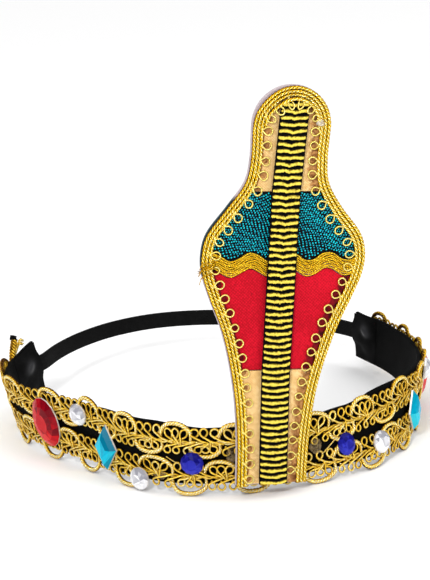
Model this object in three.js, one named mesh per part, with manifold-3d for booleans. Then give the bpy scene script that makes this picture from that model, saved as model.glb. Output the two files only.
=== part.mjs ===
// Costume headband with an upright hooded-cobra plaque: a black cloth band with two rows of gold scroll
// braid and ten foil-backed stones, closed behind the head by a flat elastic. Millimetres, +Z up, the
// front faces -Y, and the lowest braid arcs stand on z = 0.
import * as THREE from 'three';
import { mergeVertices } from 'three/addons/utils/BufferGeometryUtils.js';
import Module from 'manifold-3d';

const wasm = await Module();
wasm.setup();

// Driving dimensions
const FLOOR_TO_CLOTH = 4.5;
const CLOTH_HEIGHT = 23.5;
const CLOTH_THICKNESS = 1.8;
const CLOTH_STEPS = 84;
const GAP = 0.3;
const FLOOR_SPAN = 400;
const PLAN_DIVISIONS = 600;

// Lower edge of the cloth band in plan, from its left end round the front to its right end.
// lean is the wall's outward lean at that place, in degrees.
const BAND_STATIONS = [
  { x: -63.0, y: 46.7, lean: 12 },
  { x: -75.2, y: 33.4, lean: 13 },
  { x: -80.9, y: 11.7, lean: 13 },
  { x: -77.3, y: -10.0, lean: 11 },
  { x: -68.8, y: -28.4, lean: 7 },
  { x: -59.8, y: -44.5, lean: 2.5 },
  { x: -51.2, y: -61.2, lean: -1.5 },
  { x: -38.8, y: -76.4, lean: -2 },
  { x: -20.3, y: -85.8, lean: 0 },
  { x: 0.0, y: -88.6, lean: 0 },
  { x: 21.1, y: -88.0, lean: -6 },
  { x: 42.2, y: -82.6, lean: -12 },
  { x: 59.9, y: -69.9, lean: -6 },
  { x: 72.8, y: -52.0, lean: 4.5 },
  { x: 81.4, y: -31.8, lean: 8.5 },
  { x: 86.2, y: -10.0, lean: 8 },
  { x: 86.7, y: 13.2, lean: 4 },
  { x: 81.8, y: 40.0, lean: 0 },
];
const FRONT_STATION = 9;

// Elastic: its free stretch behind the head in plan, and how far along the band's inside each end is sewn.
const ELASTIC_HEIGHT = 6.6;
const ELASTIC_THICKNESS = 1.2;
const ELASTIC_ABOVE_CLOTH_EDGE = 10.6;
const ELASTIC_SEWN_LENGTH = 13;
const ELASTIC_SEWN_STEPS = 4;
const ELASTIC_STEPS = 60;
const ELASTIC_STATIONS = [
  { x: -54.0, y: 60.0 },
  { x: -41.0, y: 73.0 },
  { x: -24.0, y: 83.5 },
  { x: -4.0, y: 88.5 },
  { x: 17.0, y: 86.0 },
  { x: 37.0, y: 77.5 },
  { x: 56.0, y: 65.0 },
  { x: 71.0, y: 53.0 },
];

// Scroll braid: each row is a core of small loops with a thick cord that arcs over one side, then over the
// other. middles gives the row's centre line, as places along the band from the plaque's middle and heights
// above the cloth's lower edge. side is +1 where the listed arcs are the upper ones, and arcs gives their
// places along. above and below are how far the arcs reach from the centre line. On the right, towards the
// back, the rows draw in until they lie within the cloth's lower edge.
const DRAWN_IN = { from: 95, to: 110 };
const drawnIn = (along) => THREE.MathUtils.clamp(
  THREE.MathUtils.mapLinear(along, DRAWN_IN.from, DRAWN_IN.to, 0, 1), 0, 1,
);
const BRAID_ROWS = {
  trim_upper: {
    middles: [
      { along: -180, height: 19.5 }, { along: -124, height: 20 }, { along: -100, height: 20.6 },
      { along: -80, height: 20.4 }, { along: -62, height: 18.2 }, { along: -45, height: 17.7 },
      { along: -13, height: 17 }, { along: 20, height: 16.4 }, { along: 45, height: 17 },
      { along: 71, height: 18 }, { along: 90, height: 17.6 }, { along: 125, height: 16.4 },
      { along: 185, height: 16.2 },
    ],
    above: () => 8.6,
    below: (middle, along) => THREE.MathUtils.lerp(6.4, 5.4, drawnIn(along)),
    side: 1,
    arcs: [-159, -141, -124, -101.5, -81.5, -62, -36, -13, 20.5, 45.5, 71, 92, 109, 126, 145, 166.5],
  },
  trim_lower: {
    middles: [
      { along: -180, height: 4.5 }, { along: -106, height: 5 }, { along: -90, height: 5.4 },
      { along: -75, height: 5 }, { along: -60, height: 4.2 }, { along: -45, height: 3.9 },
      { along: -30, height: 3.5 }, { along: -15, height: 3 }, { along: 20, height: 2.5 },
      { along: 45, height: 3.1 }, { along: 95, height: 3.4 }, { along: 125, height: 4.6 },
      { along: 185, height: 4.6 },
    ],
    above: (middle, along) => THREE.MathUtils.lerp(7, 5.8, drawnIn(along)),
    below: (middle, along) => THREE.MathUtils.lerp(middle + 4.9, middle - 0.3, drawnIn(along)),
    side: -1,
    arcs: [-170, -147, -125, -103, -81.5, -59.5, -30, -7, 19.5, 43, 67.5, 92, 117, 142, 167],
  },
};
const BRAID_THICKNESS = 1.5;
// Edges of one half repeat, from foot to foot of its arc, as shares of the arcs' reach.
const BRAID_COLUMNS = [
  { bare: 0.56, under: 0.56, arcInner: 0.56, arcOuter: 0.56 },
  { bare: 0.73, under: 0.52, arcInner: 0.67, arcOuter: 0.84 },
  { bare: 0.6, under: 0.48, arcInner: 0.75, arcOuter: 0.96 },
  { bare: 0.73, under: 0.56, arcInner: 0.76, arcOuter: 1 },
  { bare: 0.6, under: 0.48, arcInner: 0.75, arcOuter: 0.96 },
  { bare: 0.73, under: 0.52, arcInner: 0.67, arcOuter: 0.84 },
  { bare: 0.56, under: 0.56, arcInner: 0.56, arcOuter: 0.56 },
];

// Cuts of the stones: size is width and height, and profile gives radius share and height of each tier.
const STONE_CUTS = {
  round: {
    width: 9, height: 9, sides: 10,
    profile: [{ share: 1, z: 0 }, { share: 1, z: 0.6 }, { share: 0.78, z: 1.8 }, { share: 0.48, z: 2.6 }],
  },
  oval: {
    width: 16, height: 22, sides: 10,
    profile: [{ share: 1, z: 0 }, { share: 1, z: 0.8 }, { share: 0.7, z: 2.1 }, { share: 0.42, z: 2.8 }],
  },
  lozenge: {
    width: 13, height: 19, sides: 4,
    profile: [{ share: 1, z: 0 }, { share: 1, z: 0.9 }, { share: 0.74, z: 2.6 }, { share: 0.42, z: 3.4 }],
  },
};
// The cloth twists a little under a stone's flat back, so the back stands off the braid.
const STONE_CLEARANCE = 0.5;
// Places of the stones: along the band from the plaque's middle, and above the cloth's lower edge.
const STONES = [
  {
    name: 'gem_blue', cut: 'round', colour: 0x2326a6,
    left: { along: 29.6, up: 9.4 }, right: { along: 32.9, up: 8.8 },
  },
  {
    name: 'gem_white_low', cut: 'round', colour: 0xd8d8de,
    left: { along: 52, up: 0.6 }, right: { along: 50.8, up: 4.8 },
  },
  {
    name: 'gem_turquoise', cut: 'lozenge', colour: 0x06a6cb,
    left: { along: 69.5, up: 9.8 }, right: { along: 78.5, up: 9.2 },
  },
  {
    name: 'gem_white_high', cut: 'round', colour: 0xd8d8de,
    left: { along: 85.2, up: 20.5 }, right: { along: 98, up: 20.5 },
  },
  {
    name: 'gem_red', cut: 'oval', colour: 0xc41c30,
    left: { along: 104, up: 13.2 }, right: { along: 115, up: 14.5 },
  },
];

// Cobra plaque: its own frame has x across, z up from its foot and its front towards -y.
const PLAQUE_FOOT_X = -1;
const PLAQUE_SIDE_TILT = 6.2;
const PLAQUE_LEAN_BACK = 1;
const PLAQUE_CLEARANCE = 0.5;
const BOARD_THICKNESS = 3.6;
const CLOTH_PANEL_THICKNESS = 1;
// Half width of the hood at each height above the foot.
const HOOD_SECTIONS = [
  { height: 0, half: 14.2 },
  { height: 20, half: 14.3 },
  { height: 40, half: 16.7 },
  { height: 60, half: 21.8 },
  { height: 75, half: 28.1 },
  { height: 84, half: 31.2 },
  { height: 92, half: 32.0 },
  { height: 100, half: 30.2 },
  { height: 110, half: 23.0 },
  { height: 119, half: 16.9 },
  { height: 128, half: 14.9 },
  { height: 140.5, half: 15.2 },
];
const HOOD_SIDE_STEPS = 30;
const CROWN_STEPS = 14;
const EDGE_CORD_WIDTH = 4;
// Section of the three cords side by side: in from the edge, and proud of the board.
const EDGE_CORD_SECTION = [
  { inset: 0, proud: 0 },
  { inset: 0, proud: 0.8 },
  { inset: 0.67, proud: 1.5 },
  { inset: 1.33, proud: 0.9 },
  { inset: 2.0, proud: 1.5 },
  { inset: 2.67, proud: 0.9 },
  { inset: 3.33, proud: 1.5 },
  { inset: 4.0, proud: 0.8 },
  { inset: 4.0, proud: 0 },
];
const SEAM_ROUNDS = 6;
const SEAM_CORNER = 0.05;
const BEIGE_TO_TEAL = 115.7;
const RED_TO_BEIGE = 46.6;
const WAVE = {
  middle: 87.9, width: 6.3, amplitude: 1.6, length: 15.2, crestAt: -13.3, thickness: 1.4, steps: 34,
};
const RIBBON = { width: 12, foot: 0.8, ribs: 60, pitch: 2.48, thickness: 0.7, rib: 0.7 };

// From the drawing's centre to the middle of the finished object's box.
const ORIGIN_SHIFT = { x: -1.191, y: 4.266 };

const radians = THREE.MathUtils.degToRad;

function finish(colour, roughness, metalness) {
  return new THREE.MeshStandardMaterial({ color: colour, roughness, metalness });
}

const BLACK_CLOTH = finish(0x0d0d0e, 0.9, 0);
const BLACK_ELASTIC = finish(0x101011, 0.8, 0);
const GOLD_BRAID = finish(0xd7a532, 0.35, 0.8);
const GOLD_CORD = finish(0xe1b428, 0.35, 0.8);
const BOARD_WRAP = finish(0xd9d2e2, 0.8, 0);
const BEIGE_CLOTH = finish(0xebbe82, 0.7, 0);
const TEAL_CLOTH = finish(0x0c7f93, 0.45, 0.1);
const RED_CLOTH = finish(0xd71428, 0.75, 0);
const RIBBED_RIBBON = finish(0xeed446, 0.85, 0);
const stoneFinish = (colour) => finish(colour, 0.08, 0);

function addPiece(parent, name, geometry, material) {
  const piece = new THREE.Mesh(geometry, material);
  piece.name = name;
  parent.add(piece);
  return piece;
}

// A standing wall over a curve in plan. It gives the frame at a distance along from its zero station.
function makeWall(stations, zeroStation) {
  const plan = new THREE.CatmullRomCurve3(stations.map(({ x, y, z }) => new THREE.Vector3(x, y, z)));
  plan.arcLengthDivisions = PLAN_DIVISIONS;
  const leans = new THREE.CatmullRomCurve3(
    stations.map(({ lean }) => new THREE.Vector3(lean, 0, 0)), false, 'catmullrom');
  const lengths = plan.getLengths();
  const total = lengths[lengths.length - 1];
  const zero = lengths[Math.round((zeroStation / (stations.length - 1)) * PLAN_DIVISIONS)];

  function frame(along) {
    const t = plan.getUtoTmapping(THREE.MathUtils.clamp((along + zero) / total, 0, 1));
    const tangent = plan.getTangent(t).setZ(0).normalize();
    const lean = radians(leans.getPoint(t).x);
    const level = new THREE.Vector3(tangent.y, -tangent.x, 0);
    const up = level.clone().multiplyScalar(Math.sin(lean)).setZ(Math.cos(lean));
    const out = level.clone().multiplyScalar(Math.cos(lean)).setZ(-Math.sin(lean));
    return { origin: plan.getPoint(t), tangent, up, out, lean: THREE.MathUtils.radToDeg(lean) };
  }

  function point(along, up, out) {
    const at = frame(along);
    return at.origin.clone().addScaledVector(at.up, up).addScaledVector(at.out, out);
  }

  return { start: -zero, end: total - zero, frame, point };
}

// A sheet cut to the given polygons, which share corners, laid on a wall between two distances out from it.
// A corner is a distance along the wall and a height. Polygons run counter-clockwise seen from outside.
function sheetOnWall(wall, polygons, inner, outer) {
  const corners = new Map();
  const positions = [];
  const indices = [];
  const edges = new Map();

  function cornerIndex([along, height]) {
    const key = `${along.toFixed(4)},${height.toFixed(4)}`;
    if (!corners.has(key)) {
      corners.set(key, corners.size * 2);
      positions.push(...wall.point(along, height, outer), ...wall.point(along, height, inner));
    }
    return corners.get(key);
  }

  for (const polygon of polygons) {
    const ring = polygon.map(cornerIndex);
    for (let i = 1; i < ring.length - 1; i += 1) {
      indices.push(ring[0], ring[i], ring[i + 1]);
      indices.push(ring[0] + 1, ring[i + 1] + 1, ring[i] + 1);
    }
    ring.forEach((a, i) => {
      const b = ring[(i + 1) % ring.length];
      edges.set(`${a},${b}`, [a, b]);
    });
  }
  for (const [a, b] of edges.values()) {
    if (!edges.has(`${b},${a}`)) {
      indices.push(a, a + 1, b + 1, a, b + 1, b);
    }
  }
  const geometry = new THREE.BufferGeometry();
  geometry.setAttribute('position', new THREE.Float32BufferAttribute(positions, 3));
  geometry.setIndex(indices);
  return geometry;
}

// Plain strip of a wall, as one row of quads.
function stripPolygons(start, end, low, high, steps) {
  const polygons = [];
  for (let i = 0; i < steps; i += 1) {
    const a = THREE.MathUtils.lerp(start, end, i / steps);
    const b = THREE.MathUtils.lerp(start, end, (i + 1) / steps);
    polygons.push([[a, low], [b, low], [b, high], [a, high]]);
  }
  return polygons;
}

// Height of a row's centre line at a place along the band.
function rowMiddle(middles, along) {
  const i = Math.max(middles.findIndex((row) => row.along > along), 1);
  const [a, b] = [middles[i - 1], middles[i]];
  return THREE.MathUtils.mapLinear(along, a.along, b.along, a.height, b.height);
}

// One half repeat of braid between two feet of its thick arc, on the given side of the centre line.
function braidHalf(start, end, { middles, above, below }, side) {
  const last = BRAID_COLUMNS.length - 1;
  const corner = (i, share, way) => {
    const along = THREE.MathUtils.lerp(start, end, i / last);
    const middle = rowMiddle(middles, along);
    return [along, way > 0 ? middle + share * above(middle, along) : middle - share * below(middle, along)];
  };
  const bare = (i) => corner(i, BRAID_COLUMNS[i].bare, -side);
  const under = (i) => corner(i, BRAID_COLUMNS[i].under, side);
  const inner = (i) => corner(i, BRAID_COLUMNS[i].arcInner, side);
  const outer = (i) => corner(i, BRAID_COLUMNS[i].arcOuter, side);
  const polygons = [[bare(0), bare(1), under(1), inner(1), outer(1), outer(0)]];
  for (let i = 1; i < last - 1; i += 1) {
    polygons.push([bare(i), bare(i + 1), under(i + 1), under(i)]);
    polygons.push([inner(i), inner(i + 1), outer(i + 1), outer(i)]);
  }
  polygons.push([
    bare(last), outer(last), outer(last - 1), inner(last - 1), under(last - 1), bare(last - 1),
  ]);
  return side > 0 ? polygons : polygons.map((polygon) => [...polygon].reverse());
}

// A whole row: the listed arcs on one side, and an arc on the other side between each two of them.
function braidPolygons(row) {
  const { side, arcs } = row;
  const polygons = [];
  const quarter = (i) => (arcs[i + 1] - arcs[i]) / 4;
  arcs.forEach((centre, i) => {
    const before = quarter(Math.max(i - 1, 0));
    const after = quarter(Math.min(i, arcs.length - 2));
    polygons.push(...braidHalf(centre - before, centre + after, row, side));
    if (i < arcs.length - 1) {
      polygons.push(...braidHalf(centre + after, arcs[i + 1] - after, row, -side));
    }
  });
  return polygons;
}

function solidOf(geometry) {
  const mesh = new wasm.Mesh({
    numProp: 3,
    vertProperties: new Float32Array(geometry.attributes.position.array),
    triVerts: new Uint32Array(geometry.index.array),
  });
  return new wasm.Manifold(mesh);
}

function geometryOf(solid) {
  const mesh = solid.getMesh();
  const geometry = new THREE.BufferGeometry();
  geometry.setAttribute('position', new THREE.BufferAttribute(mesh.vertProperties, 3));
  geometry.setIndex(new THREE.BufferAttribute(mesh.triVerts, 1));
  return geometry;
}

// Flattens the undersides of the arcs that stand on the floor.
function standOnFloor(geometry) {
  const floor = new THREE.BoxGeometry(FLOOR_SPAN, FLOOR_SPAN, FLOOR_SPAN).translate(0, 0, -FLOOR_SPAN / 2);
  floor.deleteAttribute('normal');
  floor.deleteAttribute('uv');
  return geometryOf(solidOf(geometry).subtract(solidOf(mergeVertices(floor))));
}

// Cut stone with its flat back on z = 0, revolved from its profile and drawn out to its width and height.
function stoneGeometry({ width, height, sides, profile }) {
  const outline = [
    new THREE.Vector2(0, 0),
    ...profile.map(({ share, z }) => new THREE.Vector2(share, z)),
    new THREE.Vector2(0, profile[profile.length - 1].z),
  ];
  const stone = new THREE.LatheGeometry(outline, sides);
  return stone.rotateX(Math.PI / 2).scale(width / 2, height / 2, 1);
}

// Outline of the hood from its right foot over the crown to its left foot, moved in by an inset.
function hoodOutline(inset) {
  const rows = HOOD_SECTIONS.map(({ height, half }) => new THREE.Vector2(half, height));
  const right = new THREE.SplineCurve(rows).getSpacedPoints(HOOD_SIDE_STEPS);
  const top = rows[rows.length - 1];
  const circle = new THREE.EllipseCurve(0, top.y, top.x, top.x, 0, Math.PI);
  const crown = circle.getPoints(CROWN_STEPS).slice(1, -1);
  const left = right.map(({ x, y }) => new THREE.Vector2(-x, y)).reverse();
  const outline = [...right, ...crown, ...left];
  return outline.map((here, i) => {
    const before = outline[Math.max(i - 1, 0)];
    const after = outline[Math.min(i + 1, outline.length - 1)];
    const along = after.clone().sub(before).normalize();
    const level = i === 0 || i === outline.length - 1;
    const inward = level ? new THREE.Vector2(-Math.sign(here.x), 0) : new THREE.Vector2(-along.y, along.x);
    return here.clone().addScaledVector(inward, inset);
  });
}

// A flat piece of the plaque: its outline is across and up, between two depths in front of the back.
function flatPiece(points, back, front) {
  const shape = new THREE.Shape(points);
  const geometry = new THREE.ExtrudeGeometry(shape, { depth: front - back, bevelEnabled: false });
  return geometry.translate(0, 0, back).rotateX(Math.PI / 2);
}

// Half width inside the edge cord where a seam, whose height may vary across the hood, meets the edge.
function seamHalf(edge, seam) {
  let half = edge[0].x;
  for (let round = 0; round < SEAM_ROUNDS; round += 1) {
    const height = seam(half);
    const i = Math.max(edge.findIndex(({ y }) => y > height), 1);
    const share = (height - edge[i - 1].y) / (edge[i].y - edge[i - 1].y);
    half = THREE.MathUtils.lerp(edge[i - 1].x, edge[i].x, share);
  }
  return half;
}

// Cloth panel between two seams inside the edge cord. With no upper seam it runs up under the crown.
function panelPoints(lower, upper, steps) {
  const edge = hoodOutline(EDGE_CORD_WIDTH + GAP);
  const right = edge.slice(0, HOOD_SIDE_STEPS + 1);
  const half = (seam, side) => side * seamHalf(right, (across) => seam(side * across));
  const seamPoints = (seam, from, to) => {
    const points = [];
    for (let i = 0; i <= steps; i += 1) {
      const across = THREE.MathUtils.lerp(from, to, i / steps);
      points.push(new THREE.Vector2(across, seam(across)));
    }
    return points;
  };
  const lowSeam = seamPoints(lower, half(lower, -1), half(lower, 1));
  if (!upper) {
    return [...lowSeam, ...edge.filter(({ y }) => y > lowSeam[0].y + SEAM_CORNER)];
  }
  const highSeam = seamPoints(upper, half(upper, 1), half(upper, -1));
  const between = (low, high) => right.filter(
    ({ y }) => y > low.y + SEAM_CORNER && y < high.y - SEAM_CORNER);
  const sideRight = between(lowSeam[steps], highSeam[0]);
  const sideLeft = between(lowSeam[0], highSeam[steps]).map(({ x, y }) => new THREE.Vector2(-x, y));
  return [...lowSeam, ...sideRight, ...highSeam, ...sideLeft.reverse()];
}

const waveLine = (across) => WAVE.middle
  + WAVE.amplitude * Math.cos((2 * Math.PI * (across - WAVE.crestAt)) / WAVE.length);

// Cords round the plaque's edge, swept along the hood's outline.
function edgeCordGeometry(back) {
  const rings = EDGE_CORD_SECTION.map(({ inset, proud }) => hoodOutline(inset).map(
    ({ x, y }) => new THREE.Vector3(x, -(back + proud), y)));
  const count = rings.length;
  const steps = rings[0].length;
  const positions = [];
  const indices = [];
  for (let i = 0; i < steps; i += 1) {
    rings.forEach((ring) => positions.push(...ring[i]));
  }
  for (let i = 0; i < steps - 1; i += 1) {
    for (let j = 0; j < count; j += 1) {
      const a = i * count + j;
      const b = i * count + ((j + 1) % count);
      indices.push(a, b + count, b, a, a + count, b + count);
    }
  }
  const cap = THREE.ShapeUtils.triangulateShape(
    EDGE_CORD_SECTION.map(({ inset, proud }) => new THREE.Vector2(inset, proud)), []);
  const lastRing = (steps - 1) * count;
  for (const [a, b, c] of cap) {
    indices.push(a, c, b);
    indices.push(lastRing + a, lastRing + b, lastRing + c);
  }
  const geometry = new THREE.BufferGeometry();
  geometry.setAttribute('position', new THREE.Float32BufferAttribute(positions, 3));
  geometry.setIndex(indices);
  return geometry;
}

// Corded ribbon: a zigzag of ribs drawn up the plaque and extruded across it.
function ribbonGeometry(back) {
  const { width, foot, ribs, pitch, thickness, rib } = RIBBON;
  const outline = [new THREE.Vector2(foot + ribs * pitch, back), new THREE.Vector2(foot, back)];
  for (let i = 0; i < ribs; i += 1) {
    outline.push(new THREE.Vector2(foot + i * pitch, back + thickness));
    outline.push(new THREE.Vector2(foot + (i + 0.5) * pitch, back + thickness + rib));
  }
  outline.push(new THREE.Vector2(foot + ribs * pitch, back + thickness));
  const ribbon = new THREE.ExtrudeGeometry(new THREE.Shape(outline), { depth: width, bevelEnabled: false });
  const turn = new THREE.Matrix4().makeBasis(
    new THREE.Vector3(0, 0, 1), new THREE.Vector3(0, -1, 0), new THREE.Vector3(1, 0, 0));
  return ribbon.translate(0, 0, -width / 2).applyMatrix4(turn);
}

const headband = new THREE.Group();
headband.position.set(ORIGIN_SHIFT.x, ORIGIN_SHIFT.y, 0);

// Band
const bandWall = makeWall(BAND_STATIONS.map((row) => ({ ...row, z: FLOOR_TO_CLOTH })), FRONT_STATION);
const bandPolygons = stripPolygons(bandWall.start, bandWall.end, 0, CLOTH_HEIGHT, CLOTH_STEPS);
addPiece(headband, 'band', sheetOnWall(bandWall, bandPolygons, -CLOTH_THICKNESS, 0), BLACK_CLOTH);

// Elastic, along the inside of the band at both ends and free between them. It runs from left to right
// behind the head, so its wall faces inwards.
function sewnStations(from, to) {
  const rows = [];
  for (let i = 0; i <= ELASTIC_SEWN_STEPS; i += 1) {
    const along = THREE.MathUtils.lerp(from, to, i / ELASTIC_SEWN_STEPS);
    const { x, y, z } = bandWall.point(along, ELASTIC_ABOVE_CLOTH_EDGE, -CLOTH_THICKNESS - GAP);
    rows.push({ x, y, z, lean: -bandWall.frame(along).lean });
  }
  return rows;
}

const sewnLeft = sewnStations(bandWall.start + ELASTIC_SEWN_LENGTH, bandWall.start);
const sewnRight = sewnStations(bandWall.end, bandWall.end - ELASTIC_SEWN_LENGTH);
const leftLean = sewnLeft[ELASTIC_SEWN_STEPS].lean;
const leftZ = sewnLeft[ELASTIC_SEWN_STEPS].z;
const rightLean = sewnRight[0].lean;
const rightZ = sewnRight[0].z;
const freeStretch = ELASTIC_STATIONS.map(({ x, y }, i) => {
  const share = (i + 1) / (ELASTIC_STATIONS.length + 1);
  return {
    x,
    y,
    z: THREE.MathUtils.lerp(leftZ, rightZ, share),
    lean: THREE.MathUtils.lerp(leftLean, rightLean, share),
  };
});
const elasticWall = makeWall([...sewnLeft, ...freeStretch, ...sewnRight], 0);
const elasticPolygons = stripPolygons(0, elasticWall.end, 0, ELASTIC_HEIGHT, ELASTIC_STEPS);
const elasticSheet = sheetOnWall(elasticWall, elasticPolygons, 0, ELASTIC_THICKNESS);
addPiece(headband, 'elastic_strap', elasticSheet, BLACK_ELASTIC);

// Braid rows on the outside of the cloth
for (const [name, row] of Object.entries(BRAID_ROWS)) {
  const sheet = sheetOnWall(bandWall, braidPolygons(row), GAP, GAP + BRAID_THICKNESS);
  addPiece(headband, name, standOnFloor(sheet), GOLD_BRAID);
}

// Stones on the braid
const stoneBack = GAP + BRAID_THICKNESS + STONE_CLEARANCE;
for (const { name, cut, colour, left, right } of STONES) {
  const places = [{ suffix: 'left', along: -left.along, up: left.up }, { suffix: 'right', ...right }];
  for (const { suffix, along, up } of places) {
    const geometry = stoneGeometry(STONE_CUTS[cut]);
    const stone = addPiece(headband, `${name}_${suffix}`, geometry, stoneFinish(colour));
    const { tangent, up: upward, out } = bandWall.frame(along);
    stone.quaternion.setFromRotationMatrix(new THREE.Matrix4().makeBasis(tangent, upward, out));
    stone.position.copy(bandWall.point(along, up, stoneBack));
  }
}

// Cobra plaque
const plaque = new THREE.Group();
const foot = bandWall.point(0, 0, GAP + BRAID_THICKNESS + PLAQUE_CLEARANCE);
plaque.position.set(foot.x + PLAQUE_FOOT_X, foot.y, foot.z);
plaque.rotation.set(-radians(PLAQUE_LEAN_BACK), radians(PLAQUE_SIDE_TILT), 0, 'YXZ');
headband.add(plaque);

const panelBack = BOARD_THICKNESS + GAP;
const panelFront = panelBack + CLOTH_PANEL_THICKNESS;
const halfGap = GAP / 2;
const waveLow = (across) => waveLine(across) - WAVE.width / 2;
const waveHigh = (across) => waveLine(across) + WAVE.width / 2;
const level = (height) => () => height;

const belowWave = (across) => waveLow(across) - GAP;
const aboveWave = (across) => waveHigh(across) + GAP;

const beigeBottom = panelPoints(level(0), level(RED_TO_BEIGE - halfGap), 1);
const red = panelPoints(level(RED_TO_BEIGE + halfGap), belowWave, WAVE.steps);
const wave = panelPoints(waveLow, waveHigh, WAVE.steps);
const teal = panelPoints(aboveWave, level(BEIGE_TO_TEAL - halfGap), WAVE.steps);
const beigeTop = panelPoints(level(BEIGE_TO_TEAL + halfGap), null, 1);
const waveFront = panelBack + WAVE.thickness;

addPiece(plaque, 'cobra_board', flatPiece(hoodOutline(0), 0, BOARD_THICKNESS), BOARD_WRAP);
addPiece(plaque, 'edge_cord', edgeCordGeometry(panelBack), GOLD_CORD);
addPiece(plaque, 'panel_beige_bottom', flatPiece(beigeBottom, panelBack, panelFront), BEIGE_CLOTH);
addPiece(plaque, 'panel_red', flatPiece(red, panelBack, panelFront), RED_CLOTH);
addPiece(plaque, 'gold_wave', flatPiece(wave, panelBack, waveFront), GOLD_BRAID);
addPiece(plaque, 'panel_teal', flatPiece(teal, panelBack, panelFront), TEAL_CLOTH);
addPiece(plaque, 'panel_beige_top', flatPiece(beigeTop, panelBack, panelFront), BEIGE_CLOTH);
addPiece(plaque, 'centre_ribbon', ribbonGeometry(waveFront + GAP), RIBBED_RIBBON);

export default headband;
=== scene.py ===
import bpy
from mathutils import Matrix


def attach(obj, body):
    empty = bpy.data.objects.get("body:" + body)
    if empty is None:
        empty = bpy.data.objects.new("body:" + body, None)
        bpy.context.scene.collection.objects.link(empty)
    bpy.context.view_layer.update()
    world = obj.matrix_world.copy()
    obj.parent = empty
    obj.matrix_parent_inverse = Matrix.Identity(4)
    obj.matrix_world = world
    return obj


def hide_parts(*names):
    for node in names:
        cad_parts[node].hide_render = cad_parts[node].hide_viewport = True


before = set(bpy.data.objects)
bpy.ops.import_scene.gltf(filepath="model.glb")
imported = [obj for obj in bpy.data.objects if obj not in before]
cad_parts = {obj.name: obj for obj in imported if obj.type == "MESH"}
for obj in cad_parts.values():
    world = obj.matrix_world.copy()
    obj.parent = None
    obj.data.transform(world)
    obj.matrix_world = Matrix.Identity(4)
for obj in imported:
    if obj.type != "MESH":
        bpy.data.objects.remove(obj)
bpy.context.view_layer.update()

import math
import random

import bpy
import numpy as np
from mathutils import Matrix, Vector


# Cloth band
# A strip of black cloth, folded and glued flat, that runs round the head from temple to temple.
# It leans out over the ears, and it is the wall that the braid and the stones are glued to.
MM = 0.001
ORIGIN_SHIFT = np.array([-1.191, 4.266, 0.0])
CLOTH_EDGE = 4.5
CLOTH_HEIGHT = 23.5
CLOTH_THICKNESS = 1.8
# Upper edge of the cloth above its lower one, at places along the band from the plaque's middle (mm).
CLOTH_TOPS = [
    (-182, 26.2), (-177, 25.2), (-168, 22.8), (-156, 22.0), (-140, 23.0), (-122, 24.4), (-75, 24.4),
    (-45, 24.6), (-35, 24.2), (-25, 22.8), (20, 22.9), (38, 23.4), (52, 25.2), (66, 25.4), (90, 24.2),
    (125, 22.0), (185, 21.6),
]
CLOTH_EDGE_ROUND = 0.45
CUT_SHORT = 3.0
CLOTH_COLUMNS = 420
CLOTH_ROWS = 14
FRONT_STATION = 9
WALL_STEPS = 60
# Lower edge in plan from the left end to the right end (mm), and the wall's outward lean (degrees).
BAND_STATIONS = np.array([
    (-63.0, 46.7, 12), (-75.2, 33.4, 13), (-80.9, 11.7, 13), (-77.3, -10.0, 11), (-68.8, -28.4, 7),
    (-59.8, -44.5, 2.5), (-51.2, -61.2, -1.5), (-38.8, -76.4, -2), (-20.3, -85.8, 0), (0.0, -88.6, 0),
    (21.1, -88.0, -6), (42.2, -82.6, -12), (59.9, -69.9, -6), (72.8, -52.0, 4.5), (81.4, -31.8, 8.5),
    (86.2, -10.0, 8), (86.7, 13.2, 4), (81.8, 40.0, 0),
])


def smooth_curve(points, steps, power):
    """A smooth curve that passes through the points. Power 0 spaces it evenly, and power 0.25 by the
    distances between them, so that it doesn't overshoot where they are close."""
    points = np.asarray(points, float)
    ends = np.vstack([2 * points[0] - points[1], points, 2 * points[-1] - points[-2]])
    w = np.linspace(0, 1, steps, endpoint=False)[:, None]
    spans = []
    for a, b, c, d in zip(ends[:-3], ends[1:-2], ends[2:-1], ends[3:]):
        k0, k1, k2 = (max(np.sum((v - u) ** 2), 1e-9) ** power for u, v in ((a, b), (b, c), (c, d)))
        leave = ((b - a) / k0 - (c - a) / (k0 + k1) + (c - b) / k1) * k1
        reach = ((c - b) / k1 - (d - b) / (k1 + k2) + (d - c) / k2) * k1
        spans.append(b + leave * w + (3 * (c - b) - 2 * leave - reach) * w**2
                     + (2 * (b - c) + leave + reach) * w**3)
    return np.vstack(spans + [points[-1:]])


def unit(vectors):
    return vectors / np.linalg.norm(vectors, axis=-1, keepdims=True)


def read_along(along, distances, table):
    """Rows of a table that is given at distances along a line, read at other distances."""
    return np.stack([np.interp(along, distances, column) for column in table.T], -1)


class Wall:
    """A wall that stands on a smooth line through stations of x, y, z and outward lean."""

    def __init__(self, stations, zero_station):
        self.line = smooth_curve(stations[:, :3], WALL_STEPS, 0.25)
        self.leans = smooth_curve(stations[:, 3:], WALL_STEPS, 0)[:, 0]
        steps = np.linalg.norm(np.diff(self.line, axis=0), axis=1)
        along = np.concatenate([[0.0], np.cumsum(steps)])
        self.along = along - along[zero_station * WALL_STEPS]
        run = np.gradient(self.line, axis=0)
        run[:, 2] = 0
        self.run = unit(run)
        level = np.stack([self.run[:, 1], -self.run[:, 0], np.zeros(len(run))], -1)
        lean = np.radians(self.leans)[:, None]
        rise = np.array([0.0, 0.0, 1.0])
        self.up = level * np.sin(lean) + rise * np.cos(lean)
        self.out = level * np.cos(lean) - rise * np.sin(lean)

    def at(self, along, table):
        return read_along(along, self.along, table)

    def place(self, along, up, out):
        """Points in mm at distances along the wall, up it and out from it."""
        up = np.asarray(up, float)[..., None]
        out = np.asarray(out, float)[..., None]
        return self.at(along, self.line) + self.at(along, self.up) * up + self.at(along, self.out) * out


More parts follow.
